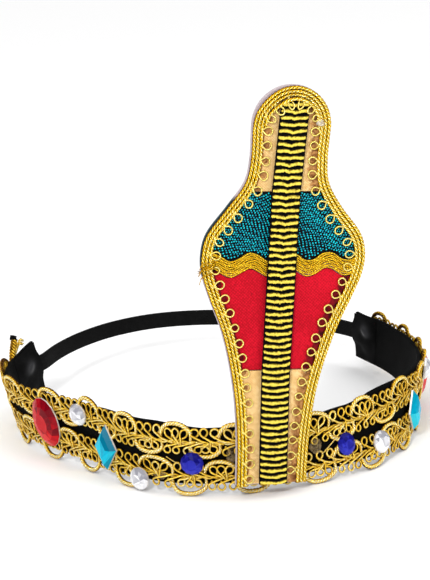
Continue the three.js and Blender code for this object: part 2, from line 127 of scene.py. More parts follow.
def laid_grid(name, columns, rows, lay):
    """A grid whose corners go where lay puts them, in mm, from their shares across and up."""
    bpy.ops.object.select_all(action="DESELECT")
    bpy.ops.mesh.primitive_grid_add(x_subdivisions=columns, y_subdivisions=rows, size=1)
    piece = bpy.context.object
    piece.name = name
    shares = np.empty(len(piece.data.vertices) * 3)
    piece.data.vertices.foreach_get("co", shares)
    shares = shares.reshape(-1, 3) + 0.5
    places = lay(shares[:, 0], shares[:, 1]) * MM
    piece.data.vertices.foreach_set("co", places.ravel())
    piece.data.update()
    return piece


def round_edges(piece, width, segments, smooth_to):
    """Rounds the sharp edges of a piece just made, and shades it smooth up to an angle."""
    rounded = piece.modifiers.new("rounding", "BEVEL")
    rounded.width = width * MM
    rounded.segments = segments
    rounded.limit_method = "ANGLE"
    rounded.angle_limit = math.radians(50)
    bpy.ops.object.modifier_apply(modifier="rounding")
    bpy.ops.object.shade_smooth_by_angle(angle=math.radians(smooth_to))


def finish_sheet(piece, thickness, rounding):
    """Gives a laid grid its thickness, away from its face, and rounds its edges."""
    wall = piece.modifiers.new("thickness", "SOLIDIFY")
    wall.thickness = thickness * MM
    wall.offset = -1
    bpy.ops.object.modifier_apply(modifier="thickness")
    round_edges(piece, rounding, 2, 60)


class Shade:
    """A value in a material's node tree. Arithmetic on it adds Math nodes to the tree."""

    def __init__(self, tree, socket):
        self.tree = tree
        self.socket = socket

    def node(self, kind, settings, inputs, output=0):
        made = self.tree.nodes.new(kind)
        for name, value in settings.items():
            if name == "stops":
                ramp = made.color_ramp
                while len(ramp.elements) < len(value):
                    ramp.elements.new(1.0)
                for stop, (place, colour) in zip(ramp.elements, value):
                    stop.position = place
                    stop.color = colour
            else:
                setattr(made, name, value)
        for key, value in inputs.items():
            if isinstance(value, Shade):
                self.tree.links.new(value.socket, made.inputs[key])
            else:
                made.inputs[key].default_value = value
        return Shade(self.tree, made.outputs[output])

    def place(self):
        """The point's place in the piece's own frame."""
        return self.node("ShaderNodeTexCoord", {}, {}, "Object")

    def uv(self):
        return self.node("ShaderNodeUVMap", {"uv_map": "UVMap"}, {})

    def mark(self, name):
        """A number that the mesh holds at its points or faces."""
        return self.node("ShaderNodeAttribute", {"attribute_name": name}, {}, "Fac")

    def math(self, operation, first, second=0.0):
        return self.node("ShaderNodeMath", {"operation": operation}, {0: first, 1: second})

    def __add__(self, other):
        return self.math("ADD", self, other)

    def __sub__(self, other):
        return self.math("SUBTRACT", self, other)

    def __rsub__(self, other):
        return self.math("SUBTRACT", other, self)

    def __mul__(self, other):
        return self.math("MULTIPLY", self, other)

    __radd__ = __add__
    __rmul__ = __mul__

    def sine(self):
        return self.math("SINE", self)

    def power(self, exponent):
        return self.math("POWER", self.math("MAXIMUM", self, 0.0), exponent)

    def clear(self, low, high):
        """0 below low, 1 above high and a soft step between."""
        return self.node("ShaderNodeMapRange", {"interpolation_type": "SMOOTHSTEP"},
                         {"Value": self, "From Min": low, "From Max": high})

    def between(self, low_colour, high_colour):
        """A colour that goes from one to the other as this value goes from 0 to 1."""
        return self.node("ShaderNodeMix", {"data_type": "RGBA"},
                         {0: self, 6: low_colour, 7: high_colour}, 2)

    def ramp(self, stops):
        """A colour from stops of a value and a colour."""
        return self.node("ShaderNodeValToRGB", {"stops": stops}, {0: self})

    def axis(self, name):
        return self.node("ShaderNodeSeparateXYZ", {}, {0: self}, name)

    def noise(self, scale, detail=2.0, roughness=0.5):
        return self.node("ShaderNodeTexNoise", {},
                         {"Vector": self, "Scale": scale, "Detail": detail, "Roughness": roughness})

    def bump(self, strength, distance):
        return self.node("ShaderNodeBump", {},
                         {"Height": self, "Strength": strength, "Distance": distance}, "Normal")


def srgb(red, green, blue):
    """A colour given as it looks on a screen, from 0 to 255, for a shader."""
    parts = [value / 255 for value in (red, green, blue)]
    return [p / 12.92 if p <= 0.04045 else ((p + 0.055) / 1.055) ** 2.4 for p in parts] + [1.0]


def begin_finish(name, plain):
    """A new material with the shader's plain values set, and a value to start its nodes from."""
    material = bpy.data.materials.new(name)
    material.use_nodes = True
    shader = material.node_tree.nodes["Principled BSDF"]
    for socket, value in plain.items():
        shader.inputs[socket].default_value = value
    return material, Shade(material.node_tree, None)


def feed(material, sockets):
    """Links values to the material's shader."""
    tree = material.node_tree
    for socket, value in sockets.items():
        tree.links.new(value.socket, tree.nodes["Principled BSDF"].inputs[socket])


def dress(piece, material, slot, *nodes):
    """Puts a piece's finish on, and fixes it to the part's body in place of its solids."""
    piece.data.materials.append(material)
    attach(piece, "root")
    if nodes:
        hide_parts(*nodes)


band_rows = np.insert(BAND_STATIONS, 2, CLOTH_EDGE, axis=1)
band_rows[:, :3] += ORIGIN_SHIFT
band_wall = Wall(band_rows, FRONT_STATION)
BAND_START = band_wall.along[0] + CUT_SHORT
BAND_END = band_wall.along[-1]


def lay_cloth(across, up):
    along = BAND_START + across * (BAND_END - BAND_START)
    height = up * (np.interp(along, *np.transpose(CLOTH_TOPS)) + 0.2 * np.sin(along / 4.1))
    ripple = 0.1 * np.sin(along / 3.3 + 5 * up) * np.sin(along / 7.9 + 2) - 0.1
    return band_wall.place(along, height, ripple)


cloth_band = laid_grid("cloth_band", CLOTH_COLUMNS, CLOTH_ROWS, lay_cloth)
finish_sheet(cloth_band, CLOTH_THICKNESS - 0.2, CLOTH_EDGE_ROUND)


def weave(across, up, threads):
    """Height of a plain weave with so many threads to a millimetre, over and under in turn."""
    return (across * (threads * math.pi)).sine() * (up * (threads * math.pi)).sine()


black_cloth, start = begin_finish("black_cloth", {"Specular IOR Level": 0.08})
uv = start.uv()
threads = weave(uv.axis("X") * (BAND_END - BAND_START), uv.axis("Y") * CLOTH_HEIGHT, 2.2)
worn = start.place().noise(90.0, 4.0)
feed(black_cloth, {
    "Base Color": (worn + threads * 0.12).clear(0.3, 0.85).between(srgb(1, 1, 1), srgb(12, 12, 12)),
    "Roughness": 0.72 + worn * 0.25,
    "Normal": (threads * 0.5 + worn).bump(0.35, 0.0003),
})
dress(cloth_band, black_cloth, "black_cloth", "band")


# Elastic
# A flat woven elastic that closes the ring behind the head. Fine ribs run along it, and each end
# is folded once and sewn to the inside of the band, where the cloth puckers round the stitches.
ELASTIC_HEIGHT = 6.6
ELASTIC_THICKNESS = 1.2
ABOVE_EDGE_LEFT = 11.5
ABOVE_EDGE_RIGHT = 9.5
ELASTIC_SEWN = 13.0
ELASTIC_RIBS = 8
ELASTIC_RIB_DEPTH = 0.14
ELASTIC_PICK = 0.7
SEAM_GAP = 0.3
# Free stretch behind the head, in plan (mm).
ELASTIC_STATIONS = [
    (-54.0, 60.0), (-41.0, 73.0), (-24.0, 83.5), (-4.0, 88.5), (17.0, 86.0), (37.0, 77.5), (56.0, 65.0),
    (71.0, 53.0),
]


def sewn_stations(first, last, above_edge):
    along = np.linspace(first, last, 5)
    places = band_wall.place(along, np.full(5, above_edge), np.full(5, -CLOTH_THICKNESS - SEAM_GAP))
    leans = -np.interp(along, band_wall.along, band_wall.leans)
    return np.column_stack([places, leans])


sewn_left = sewn_stations(BAND_START + ELASTIC_SEWN, BAND_START - CUT_SHORT, ABOVE_EDGE_LEFT)
sewn_right = sewn_stations(BAND_END, BAND_END - ELASTIC_SEWN, ABOVE_EDGE_RIGHT)
shares = (np.arange(len(ELASTIC_STATIONS)) + 1)[:, None] / (len(ELASTIC_STATIONS) + 1)
free = sewn_left[-1] + (sewn_right[0] - sewn_left[-1]) * shares
free[:, :2] = np.array(ELASTIC_STATIONS) + ORIGIN_SHIFT[:2]
elastic_wall = Wall(np.vstack([sewn_left, free, sewn_right]), 0)


def lay_elastic(across, up):
    along = across * elastic_wall.along[-1]
    rib = ELASTIC_RIB_DEPTH / 2 * (np.cos(2 * math.pi * ELASTIC_RIBS * up) - 1)
    return elastic_wall.place(along, up * ELASTIC_HEIGHT, ELASTIC_THICKNESS + rib)


elastic = laid_grid("elastic", 200, 4 * ELASTIC_RIBS, lay_elastic)
finish_sheet(elastic, ELASTIC_THICKNESS, 0.25)

black_elastic, start = begin_finish("black_elastic", {"Specular IOR Level": 0.1})
picks = (start.uv().axis("X") * (elastic_wall.along[-1] * 2 * math.pi / ELASTIC_PICK)).sine()
fuzz = start.place().noise(400.0, 3.0)
feed(black_elastic, {
    "Base Color": (fuzz + picks * 0.1).clear(0.3, 0.9).between(srgb(1, 1, 1), srgb(12, 12, 12)),
    "Roughness": 0.5 + fuzz * 0.3,
    "Normal": (picks * 0.5 + fuzz).bump(0.3, 0.0002),
})
dress(elastic, black_elastic, "black_elastic", "elastic_strap")


# Turned-in ends
# Each end of the cloth is turned in over the elastic and sewn down through it. The stitches pull a
# dimple in the cloth, which puffs up above and below them. The puffs carry a painted sheen, a lighter
# grey in their colour.
TURN_IN = 17.0
TURNED_THICKNESS = 0.5
ELASTIC_COVER = 2.15
EDGE_MARGIN = 0.9
# Puffs and dimple: distance in from the end, height, reach along and up, and how far each stands out.
PUCKERS = [(9.0, 15.2, 4.0, 2.8, 1.3), (12.0, 9.2, 2.6, 3.0, -0.7), (6.0, 6.0, 3.0, 2.2, 0.35)]


def turned_end(name, end, way, above_edge, further):
    """The turned-in cloth at one end. The way is +1 where going along the band leads into it, and the
    puckers lie further in by a distance."""
    tops = np.transpose(CLOTH_TOPS)
    puffs = []

    def lay(across, up):
        into = TURN_IN * (1 - across if way > 0 else across)
        along = end + way * (0.1 + into)
        height = 0.4 + up * (np.interp(along, *tops) - EDGE_MARGIN)
        middle = above_edge + ELASTIC_HEIGHT / 2
        cover = 1 / (1 + ((height - middle) / 5.0) ** 6) / (1 + (into / (ELASTIC_SEWN + 1.6)) ** 16)
        depth = TURNED_THICKNESS + (ELASTIC_COVER - TURNED_THICKNESS) * cover
        flat = np.clip(into / 4, 0, 1) * np.clip((TURN_IN - into) / 3, 0, 1)
        rises = 0 * depth
        for puff_into, puff_up, long, high, rise in PUCKERS:
            beside = into - puff_into - further
            slope = height - puff_up + 0.35 * beside
            rises = rises + rise * np.exp(-(beside / long) ** 2 - (slope / high) ** 2) * flat
        puffs.append(np.clip(rises, 0, 1))
        depth = depth + rises - 0.42 * (1 - np.clip((TURN_IN - into) / 2.5, 0, 1)) ** 2
        return band_wall.place(along, height, 0.1 - CLOTH_THICKNESS - depth)

    piece = laid_grid(name, 44, 52, lay)
    piece.data.attributes.new("puff", "FLOAT", "POINT").data.foreach_set("value", puffs[0])
    finish_sheet(piece, TURNED_THICKNESS * 0.8, 0.12)
    dress(piece, black_painted_sheen, "black_cloth")


black_painted_sheen, start = begin_finish("black_painted_sheen", {"Specular IOR Level": 0.1})
puff = start.mark("puff")
nap = start.place().noise(90.0, 4.0)
# Painted sheen: the base colour turns lighter grey where the puffs stand out, besides the nap's own
# random tone.
nap_and_painted_sheen = nap.clear(0.3, 0.85) * 0.17 + puff.power(2.0)
feed(black_painted_sheen, {
    "Base Color": nap_and_painted_sheen.between(srgb(1, 1, 1), srgb(52, 52, 54)),
    "Roughness": 0.88 - puff * 0.5,
    "Normal": nap.bump(0.3, 0.0003),
})
turned_end("turned_end_left", BAND_START, 1, ABOVE_EDGE_LEFT, 0.0)
turned_end("turned_end_right", BAND_END, -1, ABOVE_EDGE_RIGHT, 2.5)


# Scroll braid
# Two rows of gold scroll braid are glued round the outside of the cloth. A thick twisted cord arcs
# over a fan of three wire loops on one side, passes under the wires and arcs over three on the other.
# Opposite each arc stand three bare loops, whose stems sweep into the row's middle like a written e.
WIRE_RADIUS = 0.46
WIRE_SIDES = 6
CORD_RADIUS = 0.95
CORD_PITCH = 3.9
CORD_PLIES = 3
PLY_SIDES = 5
# Tone of the arc cords' plies, and the strength of the painted highlight where each ply comes to the
# front.
ARC_SHADE = -0.22
ARC_PAINTED_HIGHLIGHT = 0.55
# Two wires wind along each row's middle: their step, swing and pace along it (mm).
MIDDLE_STEP = 1.3
MIDDLE_SWING = 0.55
MIDDLE_PACE = 1.4
# Each row's middle at places along the band, its ends, the middles of its arcs on one side, and how far
# its arcs, bare loops and fans reach above and below the middle (mm).
BRAID_ROWS = {
    "braid_upper": {
        "node": "trim_upper",
        "middles": [(-180, 16.4), (-150, 17.0), (-127, 20), (-100, 20.6), (-80, 20.4), (-62, 18.2),
                    (-45, 17.7), (-13, 17), (20, 16.4), (45, 17), (71, 18), (90, 17.6), (125, 16.4),
                    (185, 16.2)],
        "ends": (-164, 178),
        "first_side": 1,
        "arcs": [-155, -127, -101, -79.5, -60, -35.5, -13, 20.3, 44.4, 70, 92, 109, 126, 145, 166.5],
        "above": {"arc": 7.65, "bare": 6.0, "fan": 5.6},
        "below": {"arc": 5.45, "bare": 4.75, "fan": 3.9},
        # The cut end at the left stands up past the cloth: stations along, up and out, radius and tone.
        "loose": [
            ([(-162.0, 17.5, 1.2), (-165.5, 19.5, 1.5), (-168.2, 24.5, 1.4), (-170.2, 28.8, 0.9)],
             1.6, 0.0),
            ([(-167.0, 20.5, 1.9), (-170.0, 24.0, 1.6), (-172.8, 26.2, 1.2), (-174.6, 25.4, 1.0)],
             0.75, 0.2),
            ([(-168.0, 22.0, 1.2), (-171.6, 25.0, 1.6), (-174.0, 27.6, 1.1), (-175.2, 26.6, 0.9)],
             0.7, 0.4),
        ],
    },
    "braid_lower": {
        "node": "trim_lower",
        "middles": [(-180, 4.5), (-106, 5), (-90, 5.4), (-75, 5), (-60, 4.2), (-45, 3.9), (-30, 3.5),
                    (-15, 3), (20, 2.5), (45, 3.1), (95, 3.4), (125, 4.6), (185, 4.6)],
        "ends": (-175, 178),
        "first_side": -1,
        "arcs": [-167, -149, -131, -105, -82, -59.5, -30.5, -7, 21, 46.5, 70, 93, 117, 142, 167],
        "above": {"arc": 6.6, "bare": 5.7, "fan": 4.9},
        "below": {"arc": 8.4, "bare": 5.0, "fan": 4.2},
        # Stray threads stuck across the cloth above this row.
        "loose": [
            ([(-50.0, 9.0, 2.0), (-48.6, 10.6, 2.2), (-47.4, 11.6, 2.1), (-46.2, 12.6, 1.8)],
             0.2, 0.05),
            ([(-39.8, 11.6, 1.8), (-38.2, 10.8, 2.2), (-36.6, 9.9, 2.2), (-34.6, 9.0, 1.8)],
             0.2, 0.05),
            ([(21.5, 7.0, 1.8), (23.5, 8.8, 2.3), (25.6, 10.4, 2.4), (28.4, 12.2, 1.9)],
             0.22, 0.1),
        ],
    },
}
LOOP_SHARES = (0.17, 0.5, 0.83)
# On the right, towards the back, the rows draw in until they lie within the cloth's lower edge.
DRAWN_IN = (95, 110)
# At the far left the fans fill their arcs.
FILLED = (-145, -135)
FAN_FEET = (-1.3, 0.0, 1.3)
# The thick cord over one arc: shares of its span and reach, distance out and share of its thickness.
ARC_STATIONS = [
    (-0.03, 0.15, 0.65, 0.6), (0.0, 0.52, 0.95, 0.95), (0.1, 0.8, 1.1, 1.0), (0.26, 0.96, 1.2, 1.0),
    (0.46, 1.0, 1.2, 1.0), (0.68, 0.95, 1.2, 1.0), (0.88, 0.77, 1.1, 1.0), (1.0, 0.5, 0.9, 0.9),
]
# Wire of a bare loop from its stem to its end: along from the loop, below its tip as a share of the
# loop's size, and distance out. The stem's heights are above the row's middle instead.
STEM_STATIONS = [(7.0, -0.5, 0.8), (4.5, 0.3, 1.1), (2.2, 1.1, 1.35)]
BARE_STATIONS = [
    (0.2, 3.5, 1.4), (-1.2, 2.6, 1.3), (-1.55, 1.3, 1.15), (-0.75, 0.15, 1.05), (0.5, 0.0, 1.0),
    (1.4, 0.9, 1.0), (1.35, 2.2, 0.95), (0.5, 3.2, 0.85), (-0.4, 4.0, 0.6),
]
# Wire of a fan loop: share of the way from its foot to its tip, across that way, and distance out.
FAN_STATIONS = [
    (-0.2, 1.1, 1.3), (0.12, 0.4, 1.35), (0.32, -0.4, 1.25), (0.58, -1.15, 1.1), (0.85, -1.0, 1.0),
    (1.0, 0.0, 1.0), (0.85, 1.0, 1.0), (0.58, 1.15, 0.95), (0.32, 0.4, 0.85), (0.12, -0.4, 0.7),
    (-0.2, -1.1, 0.6),
]


def tube(path, across, radius, sides):
    """A round wire along a path, as corners, faces and their UVs. Across is a way over the path."""
    run = unit(np.gradient(path, axis=0))
    side = unit(np.cross(run, across))
    lift = np.cross(side, run)
    turn = np.arange(sides) * (2 * math.pi / sides)
    ring = np.cos(turn)[None, :, None] * side[:, None] + np.sin(turn)[None, :, None] * lift[:, None]
    thick = np.broadcast_to(np.asarray(radius, float), (len(path),))
    corners = path[:, None] + ring * thick[:, None, None]
    i, j = np.meshgrid(np.arange(len(path) - 1), np.arange(sides), indexing="ij")
    k = (j + 1) % sides
    quads = np.stack([i * sides + j, (i + 1) * sides + j, (i + 1) * sides + k, i * sides + k], -1)
    length = lengths(path)
    low, high = length[i], length[i + 1]
    u = np.stack([low, high, high, low], -1)
    v = np.stack([j, j, j + 1, j + 1], -1) / sides
    last = (len(path) - 1) * sides
    caps = [list(range(sides)), list(range(last + sides - 1, last - 1, -1))]
    return corners.reshape(-1, 3), quads.reshape(-1, 4), np.stack([u, v], -1).reshape(-1, 4, 2), caps


def lengths(path):
    """Distance along a path at each of its points."""
    return np.concatenate([[0.0], np.cumsum(np.linalg.norm(np.diff(path, axis=0), axis=1))])


def joined(name, tubes, tones):
    """One mesh piece of many wires, each lighter or darker by one tone or by one for every step. Its UV
    map holds the distance along a wire in mm and the turn round it."""
    corners, faces, uvs, caps, count = [], [], [], [], 0
    face_tones, cap_tones = [], []
    for (points, quads, wire_uvs, ends), tone in zip(tubes, tones):
        corners.append(points)
        faces.append(quads + count)
        uvs.append(wire_uvs)
        caps += [[count + index for index in end] for end in ends]
        steps = np.atleast_1d(tone)
        face_tones.append(np.repeat(steps, len(quads) // len(steps)))
        cap_tones += [steps[0], steps[-1]]
        count += len(points)
    mesh = bpy.data.meshes.new(name)
    quads = np.vstack(faces).tolist()
    mesh.from_pydata((np.vstack(corners) * MM).tolist(), [], quads + caps)
    layer = mesh.uv_layers.new(name="UVMap")
    flat = np.zeros((len(mesh.loops), 2))
    flat[:4 * len(quads)] = np.vstack(uvs).reshape(-1, 2)
    layer.data.foreach_set("uv", flat.ravel())
    mesh.attributes.new("tone", "FLOAT", "FACE").data.foreach_set(
        "value", np.concatenate(face_tones + [cap_tones]))
    mesh.polygons.foreach_set("use_smooth", np.ones(len(mesh.polygons), bool))
    piece = bpy.data.objects.new(name, mesh)
    bpy.context.collection.objects.link(piece)
    return piece


def spaced(path, step):
    """The path with points evenly spaced about a step apart."""
    length = lengths(path)
    even = np.linspace(0, length[-1], max(int(length[-1] / step), 2) + 1)
    return read_along(even, length, path)


def twisted(path, across, radius, pitch, plies, sides, phase=0.0):
    """Plies that wind round each other along an evenly spaced path, as tubes, and how far each step of a
    ply stands to the front of the cord, from -1 to 1."""
    run = unit(np.gradient(path, axis=0))
    side = unit(np.cross(run, across))
    lift = np.cross(side, run)
    ply = 1 / (1 + 1 / math.sin(math.pi / plies))
    thick = np.broadcast_to(np.asarray(radius, float), (len(path),))[:, None]
    length = lengths(path)
    tubes, crests = [], []
    for k in range(plies):
        turn = (2 * math.pi * (length / pitch + phase + k / plies))[:, None]
        centre = path + (side * np.cos(turn) + lift * np.sin(turn)) * thick * (1 - ply)
        tubes.append(tube(centre, across, thick[:, 0] * ply * 1.08, sides))
        crests.append(np.sin(turn[:-1, 0]))
    return tubes, crests


def on_band(path):
    """A path given along, up and out on the band, as points, with the directions out from the wall."""
    return band_wall.place(path[:, 0], path[:, 1], path[:, 2]), band_wall.at(path[:, 0], band_wall.out)


def row_middle(row, along):
    return np.interp(along, *np.transpose(row["middles"]))


def braid_halves(row):
    """Start, end and side of each arc of a row: the listed arcs, and one midway between each two."""
    arcs = row["arcs"]
    halves = []
    for i, middle in enumerate(arcs):
        before = (arcs[max(i, 1)] - arcs[max(i, 1) - 1]) / 4
        after = (arcs[min(i + 1, len(arcs) - 1)] - arcs[min(i, len(arcs) - 2)]) / 4
        halves.append((middle - before, middle + after, row["first_side"]))
        if i < len(arcs) - 1:
            halves.append((middle + after, arcs[i + 1] - after, -row["first_side"]))
    return halves


def bare_loop(along, tip, chance):
    """A loop like a written e, along the row and above its middle, with its distance out."""
    size = (tip / 6.0) ** 0.7
    stem = np.array(STEM_STATIONS)
    stem[:, 0] *= chance.uniform(0.85, 1.15)
    loop = np.array(BARE_STATIONS)
    loop[:, 0] *= size * chance.uniform(0.9, 1.1)
    loop[:, 1] = tip - loop[:, 1] * size
    return np.vstack([stem, loop]) + (along, 0, 0)


def fan_loop(foot, tip_along, tip, chance):
    """A drop-shaped loop that leans from its foot, its two ends crossed below it."""
    stations = np.array(FAN_STATIONS)
    way = np.array([tip_along - foot, tip - 0.2])
    across = np.array([way[1], -way[0]]) / np.hypot(*way) * chance.uniform(1.05, 1.3)
    flat = np.array([foot, 0.2]) + stations[:, :1] * way + stations[:, 1:2] * across
    return np.column_stack([flat, stations[:, 2]])


def braid(name, row):
    """All the wires of one row, and how much lighter or darker each is."""
    chance = random.Random(name)
    reach = {1: row["above"], -1: row["below"]}
    wires, cord = [], []

    def place_loop(path, side):
        path = smooth_curve(path, 2, 0)
        path[:, 1] = row_middle(row, path[:, 0]) + side * path[:, 1]
        wires.append(tube(*on_band(path), WIRE_RADIUS, WIRE_SIDES))

    for first, last, side in braid_halves(row):
        span = last - first
        middle = (first + last) / 2
        sway = chance.uniform(-0.4, 0.4)
        back = np.interp(middle, DRAWN_IN, (0, 1))
        filled = np.interp(middle, FILLED, (1.25, 1))
        stretch = min(reach[side]["arc"], row_middle(row, middle) + CLOTH_EDGE - CORD_RADIUS)
        if side < 0 and name == "braid_lower":
            stretch += (row_middle(row, middle) - CORD_RADIUS - stretch) * back
        elif side < 0 or name == "braid_lower":
            stretch *= 1 - 0.16 * back
        for share, height, out, thick in ARC_STATIONS:
            along = first + span * share + sway * share * (1 - share) * 4
            cord.append((along, row_middle(row, along) + side * height * stretch, out, thick))
        for share, foot in zip(LOOP_SHARES, FAN_FEET):
            along = first + span * share + chance.uniform(-0.3, 0.3)
            tip = filled * reach[side]["fan"] * (1 - 0.35 * (share - 0.5) ** 2)
            tip += chance.uniform(-0.2, 0.2)
            place_loop(fan_loop(middle + foot, along, tip, chance), side)
            tip = reach[-side]["bare"] + chance.uniform(-0.3, 0.3)
            place_loop(bare_loop(along + chance.uniform(-0.3, 0.3), tip, chance), -side)
    for turn in (0, math.pi):
        along = np.arange(*row["ends"], MIDDLE_STEP)
        up = row_middle(row, along) + MIDDLE_SWING * np.sin(along / MIDDLE_PACE + turn)
        path = np.column_stack([along, up, 0.75 + 0.2 * np.sin(along / MIDDLE_PACE + turn + 1.5)])
        wires.append(tube(*on_band(path), WIRE_RADIUS, WIRE_SIDES))
    path = spaced(smooth_curve(cord, 12, 0.25), CORD_PITCH / 9)
    points, across = on_band(path[:, :3])
    points[:, 2] = np.maximum(points[:, 2], CORD_RADIUS)
    tones = [chance.uniform(-0.12, 0.12) for _ in wires]
    plies, crests = twisted(points, across, CORD_RADIUS * path[:, 3], CORD_PITCH, CORD_PLIES, PLY_SIDES)
    wires += plies
    # Painted highlight: each ply of the cord is lighter where it comes to the front and darker behind.
    tones += [ARC_SHADE + ARC_PAINTED_HIGHLIGHT * crest for crest in crests]
    for stations, thick, shade in row["loose"]:
        ends = spaced(smooth_curve(stations, 6, 0.25), 0.4)
        plies, crests = twisted(*on_band(ends), thick, CORD_PITCH, CORD_PLIES, PLY_SIDES)
        wires += plies
        # The loose ends' plies get a painted highlight where they come to the front.
        tones += [shade + 0.1 * crest for crest in crests]
    return wires, tones


def gold_finish(name, dark, middle, bright, pale, wrap):
    """Metallic thread wound round a core, with painted shade at its flanks and a painted highlight along
    its crest.
    """
    material, start = begin_finish(name, {"Metallic": 0.75, "Specular IOR Level": 0.1})
    uv, place = start.uv(), start.place()
    turns = (uv.axis("X") * (2 * math.pi / wrap) + uv.axis("Y") * (2 * math.pi)).sine()
    patches = place.noise(420.0, 3.0, 0.6)
    glints = place.noise(1900.0, 2.0)
    # Painted light round each wire: lighter where it faces front or back, darker at its flanks, with a
    # sharper painted glint along the crest.
    turned = (uv.axis("Y") * (2 * math.pi)).sine()
    crest = turned * turned
    tone = (start.mark("tone") + turns * 0.1 + patches * 0.5 + glints * 0.75 + crest * 0.4
            + crest.power(4.0) * 0.2 - 0.55)
    feed(material, {
        "Base Color": tone.ramp([(0.02, dark), (0.3, middle), (0.62, bright), (0.94, pale)]),
        "Roughness": 0.4 - tone * 0.22,
        "Normal": (turns * 0.6 + glints * 0.6).bump(0.5, 0.00012),
    })
    return material


gold_braid = gold_finish("gold_braid", srgb(66, 34, 2), srgb(227, 170, 28), srgb(254, 220, 82),
                         srgb(255, 251, 206), 0.42)
for name, row in BRAID_ROWS.items():
    dress(joined(name, *braid(name, row)), gold_braid, "gold_braid", row["node"])
# A turn of black tape binds the upper row's cut end.
TAPE_STATIONS = np.array([(-169.7, 28.9, 1.2), (-170.1, 29.7, 1.1), (-170.5, 30.5, 1.0)])
TAPE_RADIUS = 1.5
cut_end_tape = joined("cut_end_tape", [tube(*on_band(TAPE_STATIONS), TAPE_RADIUS, 10)], [0.0])
dress(cut_end_tape, black_painted_sheen, "black_cloth")


# Stones
# Moulded acrylic stones with cut faces, backed with foil, are glued on the braid. The same five go
# round each side: a round blue, a round clear, a turquoise lozenge, a round clear and a red oval.
STONE_BACK = 1.7
FACET_UNEVEN = 0.27
# Width, height, number of sides, turn between tiers (degrees), thickness of the rim, and the tiers:
# inset as a share, and rise (mm).
STONE_CUTS = {
    "round": (9.2, 9.2, 12, 15, 0.8, [(0.22, 1.2), (0.3, 0.8)]),
    "oval": (17.2, 22.0, 16, 11.25, 0.6, [(0.3, 1.7), (0.3, 0.6)]),
    "lozenge": (13.0, 19.0, 4, 0, 0.7, [(0.26, 1.9), (0.32, 0.8)]),
}
# Solid without its side, cut, slot, and place along and up the band on the left and the right (mm).
STONES = [
    ("gem_blue", "round", "blue_stone", (29.6, 9.4), (32.9, 8.8)),
    ("gem_white_low", "round", "white_stone", (52, 0.6), (50.8, 4.8)),
    ("gem_turquoise", "lozenge", "turquoise_stone", (69.5, 9.8), (78.5, 9.2)),
    ("gem_white_high", "round", "white_stone", (85.2, 20.5), (99.5, 20.2)),
    ("gem_red", "oval", "red_stone", (105.6, 13.0), (118, 11.4)),
]
# Two on the right are smaller than their fellows: share of the width and of the height.
SMALLER_STONES = {"stone_blue_right": (0.83, 1.0), "stone_turquoise_right": (0.88, 0.9)}
# Dark, middle and light tone of each stone, between which the painted light on its facets runs.
STONE_TONES = {
    "blue_stone": (srgb(14, 14, 104), srgb(34, 36, 156), srgb(48, 54, 186)),
    "white_stone": (srgb(150, 150, 158), srgb(234, 234, 238), srgb(252, 252, 252)),
    "turquoise_stone": (srgb(0, 108, 138), srgb(0, 178, 212), srgb(44, 206, 230)),
    "red_stone": (srgb(112, 2, 18), srgb(194, 8, 24), srgb(222, 46, 46)),
}


def stone_finish(name, dark, middle, light):
    """Clear polish over foil, with painted reflections: each cut face is painted a lighter or darker
    tone.
    """
    material, start = begin_finish(name, {"Roughness": 0.14, "Specular IOR Level": 0.1})
    # The facets' painted reflection, with a little noise.
    depth = start.mark("face_tone") + start.place().noise(260.0, 2.0) * 0.3 - 0.15
    feed(material, {"Base Color": depth.ramp([(0.1, dark), (0.5, middle), (0.92, light)])})
    return material


silver_foil, start = begin_finish("silver_foil", {"Metallic": 0.3})
crinkle = start.place().noise(900.0, 3.0)
feed(silver_foil, {
    "Base Color": crinkle.between(srgb(186, 180, 178), srgb(252, 250, 250)),
    "Roughness": 0.2 + crinkle * 0.3,
    "Normal": crinkle.bump(0.4, 0.0002),
})
stone_finishes = {slot: stone_finish(slot, *tones) for slot, tones in STONE_TONES.items()}


